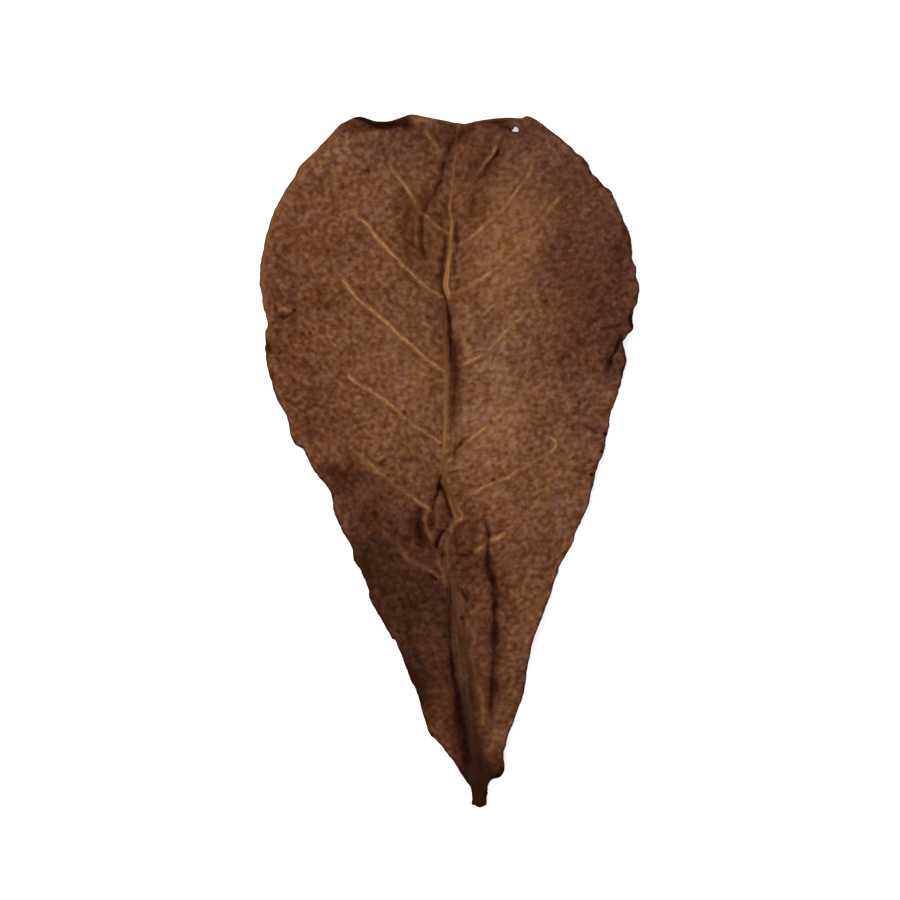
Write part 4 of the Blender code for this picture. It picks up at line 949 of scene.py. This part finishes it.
def ramp(value, stops):
    made = node("ShaderNodeValToRGB", {"Fac": value})
    made.color_ramp.interpolation = "B_SPLINE" if len(stops) > 4 else "LINEAR"
    while len(made.color_ramp.elements) < len(stops):
        made.color_ramp.elements.new(0.5)
    for element, (place, colour) in zip(made.color_ramp.elements, stops):
        element.position, element.color = place, (*colour, 1)
    return made.outputs["Color"]


flat = node("ShaderNodeAttribute", attribute_name="flat").outputs["Vector"]
under = value_of("under")
painted_shade, pale, tone_and_shade, red, grey = (value_of(k) for k in ("painted_shade", "pale", "tone_and_shade", "red", "grey"))

# the mottling is drawn out along the small veins, another way on each half
halves = []
for turn, stretch in ((-0.35, (1.07, 0.95, 1.0)), (0.62, (1.12, 0.92, 1.0))):
    made = node("ShaderNodeMapping", {"Vector": flat, "Rotation": (0.0, 0.0, turn), "Scale": stretch}, vector_type="TEXTURE")
    halves.append(made.outputs["Vector"])
made = node("ShaderNodeMix", {0: calc("GREATER_THAN", value_of("rib"), 0.0), 4: halves[0], 5: halves[1]}, data_type="VECTOR")
drawn = made.outputs[1]

# the place on the blade, turned out of the plane so that no texture shows rows, and warped a little
turned = node("ShaderNodeMapping", {"Vector": drawn, "Location": (4.3, 7.7, 2.9), "Rotation": (0.62, 0.41, 0.90)}).outputs["Vector"]
sway = node("ShaderNodeTexNoise", {"Vector": turned, "Scale": 0.42, "Detail": 2.0}).outputs["Color"]
sway = node("ShaderNodeVectorMath", {0: sway, 1: (-0.5, -0.5, -0.5)}, operation="ADD").outputs["Vector"]
warped = node("ShaderNodeVectorMath", {0: sway, 1: (0.8, 0.8, 0.8), 2: turned}, operation="MULTIPLY_ADD").outputs["Vector"]

fine = noise(warped, 1.00, 0.0)
pits = noise(moved(warped, (71.0, 13.0, 0.0)), 1.50, 0.0)
clouds = noise(moved(turned, (17.0, 91.0, 0.0)), 4.0, 2.0, 0.5)
patches = noise(moved(turned, (53.0, 37.0, 0.0)), 13.0, 3.0, 0.5)
worms = node(
    "ShaderNodeTexVoronoi",
    {"Vector": warped, "Scale": 0.62, "Randomness": 1.0},
    feature="DISTANCE_TO_EDGE",
).outputs["Distance"]
lines = band(worms, 0.16, 0.02)

# how light the blade is at each point, 0 to 1; the mottling is quieter where the blade is dark
mottle = calc("MULTIPLY", calc("SUBTRACT", fine, 0.5), 0.20)
mottle = calc("MULTIPLY_ADD", calc("SUBTRACT", pits, 0.5), 0.45, mottle)
mottle = calc("MULTIPLY_ADD", calc("SUBTRACT", clouds, 0.5), 0.20, mottle)
mottle = calc("MULTIPLY", mottle, value_of("mottled"))
mottle = calc("MULTIPLY_ADD", mottle, band(tone_and_shade, -0.40, 0.0, 0.62, 1.0), 0.5)
mottle = calc("MULTIPLY_ADD", calc("SUBTRACT", patches, 0.5), 0.10, mottle)
mottle = calc("MULTIPLY_ADD", value_of("pebble"), 0.09, mottle)
mottle = calc("MULTIPLY_ADD", value_of("net"), 0.03, mottle)
mottle = calc("MULTIPLY_ADD", lines, -0.05, mottle)
mottle = calc("ADD", mottle, tone_and_shade)

blade = ramp(
    mottle,
    (
        (0.00, (0.016, 0.0045, 0.0012)),
        (0.22, (0.047, 0.0142, 0.0058)),
        (0.42, (0.091, 0.0314, 0.0128)),
        (0.58, (0.135, 0.0548, 0.0258)),
        (0.78, (0.199, 0.0942, 0.0478)),
        (1.00, (0.283, 0.1482, 0.0812)),
    ),
)
# redder and greyer patches, and small orange flecks
blade = blend(calc("MULTIPLY", red, 0.55, clamp=True), blade, (1.04, 0.80, 1.02), "MULTIPLY")
blade = blend(calc("MULTIPLY", grey, 1.0, clamp=True), blade, (0.95, 1.06, 1.28), "MULTIPLY")
blade = blend(calc("MULTIPLY", grey, -1.0, clamp=True), blade, (1.03, 0.965, 0.80), "MULTIPLY")
blade = blend(calc("MULTIPLY", red, -0.6, clamp=True), blade, (1.0, 1.05, 0.86), "MULTIPLY")
hue = noise(moved(turned, (5.0, 63.0, 0.0)), 6.0, 2.0)
blade = blend(band(hue, 0.52, 0.72, 0.0, 0.5), blade, (0.96, 1.02, 1.30), "MULTIPLY")
blade = blend(band(hue, 0.48, 0.30, 0.0, 0.5), blade, (1.06, 0.98, 0.78), "MULTIPLY")
lean = calc("MULTIPLY_ADD", fine, 0.35, calc("MULTIPLY", pits, 0.65))
blade = blend(band(lean, 0.50, 0.72, 0.0, 0.55), blade, (0.97, 1.025, 1.19), "MULTIPLY")
blade = blend(band(lean, 0.50, 0.28, 0.0, 0.55), blade, (1.03, 0.965, 0.80), "MULTIPLY")
tint = noise(moved(warped, (23.0, 57.0, 0.0)), 1.9, 1.0)
blade = blend(band(tint, 0.50, 0.72, 0.0, 0.75), blade, (0.97, 1.04, 1.27), "MULTIPLY")
blade = blend(band(tint, 0.50, 0.28, 0.0, 0.75), blade, (1.03, 0.955, 0.75), "MULTIPLY")
fleck = calc("MULTIPLY", band(noise(moved(turned, (29.0, 7.0, 0.0)), 1.7, 1.0), 0.62, 0.76, 0.0, 0.24), band(mottle, 0.25, 0.5))
blade = blend(fleck, blade, (0.210, 0.080, 0.022))

# side veins: painted shade along both flanks, a soft orange-brown band, and a paler crest where the vein stands out,
# its own paler colour with a painted highlight
wander = calc("MULTIPLY_ADD", calc("SUBTRACT", noise(moved(turned, (3.0, 3.0, 0.0)), 1.5, 1.0), 0.5), 0.65, value_of("vein"))
patchy = band(noise(moved(turned, (11.0, 45.0, 0.0)), 1.7, 1.0), 0.28, 0.70, 0.74, 1.26)
strong = calc("MULTIPLY", calc("POWER", value_of("vein_s"), 1.2), patchy)
vein_flank_shade = calc("MULTIPLY", band(wander, 1.95, 1.15), strong, clamp=True)
blade = blend(calc("MULTIPLY", vein_flank_shade, 0.26), blade, (0.050, 0.015, 0.004))
on_vein = calc("MULTIPLY", band(wander, 1.25, 0.25), strong, clamp=True)
blade = blend(calc("MULTIPLY", on_vein, 0.56), blade, (0.180, 0.074, 0.026))
crest = calc("MULTIPLY", band(wander, 0.62, 0.02), band(strong, 0.25, 1.15), clamp=True)
nicks = noise(moved(turned, (61.0, 5.0, 0.0)), 0.9, 1.0)
crest = calc("MULTIPLY", crest, band(nicks, 0.30, 0.62, 0.62, 1.25), clamp=True)
vein_colour = blend(noise(moved(turned, (9.0, 80.0, 0.0)), 1.8, 2.0), (0.250, 0.112, 0.042), (0.390, 0.205, 0.098))
blade = blend(calc("MULTIPLY", crest, 0.66), blade, vein_colour)

# midrib and stalk: streaks run along them
q = value_of("rib")
reach = calc("DIVIDE", calc("ABSOLUTE", q), value_of("rib_w"))
along_rib = node("ShaderNodeCombineXYZ", {0: q, 1: node("ShaderNodeSeparateXYZ", {0: flat}).outputs[1]}).outputs[0]
streaky = node("ShaderNodeMapping", {"Vector": along_rib, "Scale": (1.0, 0.10, 1.0)}).outputs["Vector"]
streak = noise(streaky, 0.62, 2.0, 0.5)
on_rib = band(reach, 1.12, 0.80)
own = calc("MULTIPLY", on_rib, value_of("rib_own"))
broad = node("ShaderNodeMapping", {"Vector": along_rib, "Scale": (1.0, 0.22, 1.0)}).outputs["Vector"]
broad = noise(moved(broad, (3.0, 8.0, 4.6)), 1.25, 1.5, 0.5)
own_colour = blend(band(broad, 0.25, 0.75), (0.036, 0.0115, 0.0045), (0.080, 0.032, 0.0135))
blade = blend(calc("MULTIPLY", own, 0.75), blade, own_colour)
warm = calc("MULTIPLY", on_rib, value_of("rib_warm"))
blade = blend(calc("MULTIPLY", warm, 0.85), blade, blend(streak, (0.072, 0.021, 0.005), (0.124, 0.046, 0.014)))
tan = calc("MULTIPLY", on_rib, calc("MULTIPLY", value_of("rib_tan"), band(streak, 0.25, 0.60, 0.65, 1.1)), clamp=True)
tan_colour = blend(streak, (0.200, 0.075, 0.020), (0.350, 0.170, 0.064))
blade = blend(calc("MULTIPLY", tan, 0.88), blade, tan_colour)
stalk = calc("MULTIPLY", on_rib, value_of("rib_dark"), clamp=True)
stalk_colour = blend(band(broad, 0.25, 0.75), (0.0145, 0.0046, 0.0018), (0.026, 0.0080, 0.0035))
blade = blend(stalk, blade, stalk_colour)

# painted highlights on the raised folds, painted shade in the creases and tears
blade = blend(calc("MULTIPLY", calc("MULTIPLY", pale, patchy), 0.72, clamp=True), blade, (0.240, 0.105, 0.040))
ragged_painted_shade = calc("MULTIPLY_ADD", calc("SUBTRACT", pits, 0.5), calc("MULTIPLY", band(painted_shade, 0.0, 0.4), 0.45), painted_shade)
blade = blend(calc("MULTIPLY", ragged_painted_shade, 1.65, clamp=True), blade, (0.42, 0.31, 0.27), "MULTIPLY")
blade = blend(calc("MULTIPLY_ADD", ragged_painted_shade, 2.5, -1.12, clamp=True), blade, (0.42, 0.31, 0.25), "MULTIPLY")
blade = blend(calc("MULTIPLY_ADD", ragged_painted_shade, 3.3, -2.64, clamp=True), blade, (0.0095, 0.0020, 0.0006))

# the margin: an orange-brown rim on the upper left, painted as lit by the light from that side, a dark uneven rim
# elsewhere of painted shade, and a darker lip of painted shade along the very edge
edge = value_of("edge")
ragged = calc("MULTIPLY_ADD", calc("SUBTRACT", noise(moved(turned, (41.0, 19.0, 0.0)), 2.2, 2.0), 0.5), 0.9, edge)
bare = calc("SUBTRACT", 1.0, value_of("rib_dark"), clamp=True)
place = node("ShaderNodeSeparateXYZ", {0: flat}).outputs
sunlit = calc("MULTIPLY", band(place[0], -5.0, -30.0), band(place[1], 33.0, 41.0, 0.15, 1.0))
rim = calc("MULTIPLY", band(ragged, 1.9, 0.35, 0.0, 0.62), calc("MULTIPLY", bare, sunlit))
blade = blend(rim, blade, (0.165, 0.062, 0.018))
uneven = calc("MULTIPLY_ADD", calc("SUBTRACT", noise(moved(turned, (2.0, 77.0, 0.0)), 2.6, 1.0), 0.5), 2.0, edge)
shaded = calc("MULTIPLY", band(uneven, 1.25, 0.10, 0.0, 0.75), calc("MULTIPLY_ADD", sunlit, -0.8, 1.0))
blade = blend(shaded, blade, (0.38, 0.28, 0.25), "MULTIPLY")
blade = blend(band(edge, 0.45, 0.05, 0.0, 0.75), blade, (0.028, 0.0085, 0.0035))

# the underside: a little paler and greyer, with a tan net of veins
lower = ramp(mottle, ((0.0, (0.040, 0.018, 0.009)), (0.45, (0.132, 0.064, 0.031)), (1.0, (0.270, 0.150, 0.082))))
lower = blend(band(hue, 0.40, 0.66, 0.0, 0.5), lower, (0.84, 0.80, 0.78), "MULTIPLY")
lower = blend(calc("MULTIPLY", value_of("net"), 0.42, clamp=True), lower, (0.240, 0.125, 0.058))
slim = calc("DIVIDE", wander, calc("MULTIPLY_ADD", value_of("vein_s"), 0.75, 0.22))
lower = blend(calc("MULTIPLY", band(slim, 0.85, 0.35, 0.0, 0.75), band(value_of("vein_s"), 0.0, 0.5)), lower, (0.265, 0.132, 0.056))
lower = blend(calc("MULTIPLY", on_rib, 0.65), lower, blend(streak, (0.150, 0.066, 0.026), (0.320, 0.168, 0.074)))
lower = blend(stalk, lower, stalk_colour)
lower = blend(band(edge, 0.42, 0.05, 0.0, 0.6), lower, (0.046, 0.018, 0.008))
colour = blend(under, blade, lower)

shader = tree.nodes["Principled BSDF"]
tree.links.new(colour, shader.inputs["Base Color"])
gloss = band(mottle, 0.2, 0.8, 0.80, 0.62)
gloss = calc("MULTIPLY_ADD", on_vein, -0.08, gloss)
gloss = calc("MULTIPLY_ADD", stalk, -0.12, gloss, clamp=True)
tree.links.new(gloss, shader.inputs["Roughness"])
shader.inputs["Specular IOR Level"].default_value = 0.015

height = calc("MULTIPLY_ADD", pits, 1.0, calc("MULTIPLY", fine, 0.4))
height = calc("MULTIPLY_ADD", calc("MULTIPLY", streak, on_rib), 0.4, height)
bump = node("ShaderNodeBump", {"Height": height, "Strength": 1.0, "Distance": 0.00007})
tree.links.new(bump.outputs["Normal"], shader.inputs["Normal"])
mesh.materials.append(material)

# ------------------------------------------------------------------ floor, light and camera
floor_mesh = bpy.data.meshes.new("floor")
floor_mesh.from_pydata(
    [(-4, -4, -0.0003), (4, -4, -0.0003), (4, 4, -0.0003), (-4, 4, -0.0003)], [], [(0, 1, 2, 3)]
)
floor = bpy.data.objects.new("floor", floor_mesh)
bpy.context.scene.collection.objects.link(floor)
pale = bpy.data.materials.new("pale_floor")
pale.use_nodes = True
paint = pale.node_tree.nodes["Principled BSDF"].inputs
paint["Base Color"].default_value = (0.60, 0.60, 0.60, 1)
paint["Roughness"].default_value = 0.9
paint["Emission Color"].default_value = (1, 1, 1, 1)
paint["Emission Strength"].default_value = 0.55  # a white light table, so that shadows stay faint
floor_mesh.materials.append(pale)

world = bpy.data.worlds.new("studio")
bpy.context.scene.world = world
world.use_nodes = True
world.node_tree.nodes["Background"].inputs["Color"].default_value = (1, 1, 1, 1)
world.node_tree.nodes["Background"].inputs["Strength"].default_value = 0.98


def softbox(name, at, size, power):
    light = bpy.data.lights.new(name, "AREA")
    light.shape, light.size, light.energy = "DISK", size, power
    lamp = bpy.data.objects.new(name, light)
    lamp.location = at
    lamp.rotation_euler = (-Vector(at)).to_track_quat("-Z", "Y").to_euler()
    bpy.context.scene.collection.objects.link(lamp)


softbox("key", (-0.75, 0.66, 1.50), 1.2, 20)

camera = bpy.data.cameras.new("camera")
camera.lens, camera.sensor_width = 135, 36
view = bpy.data.objects.new("camera", camera)
HIGH = 450 * STEP / 1000 * 135 / 18
view.location = ((450 - DATUM[0]) * STEP / 1000, (DATUM[1] - 450) * STEP / 1000, HIGH + 0.003)
bpy.context.scene.collection.objects.link(view)
bpy.context.scene.camera = view
bpy.context.scene.view_settings.view_transform = "Standard"

bpy.context.view_layer.update()
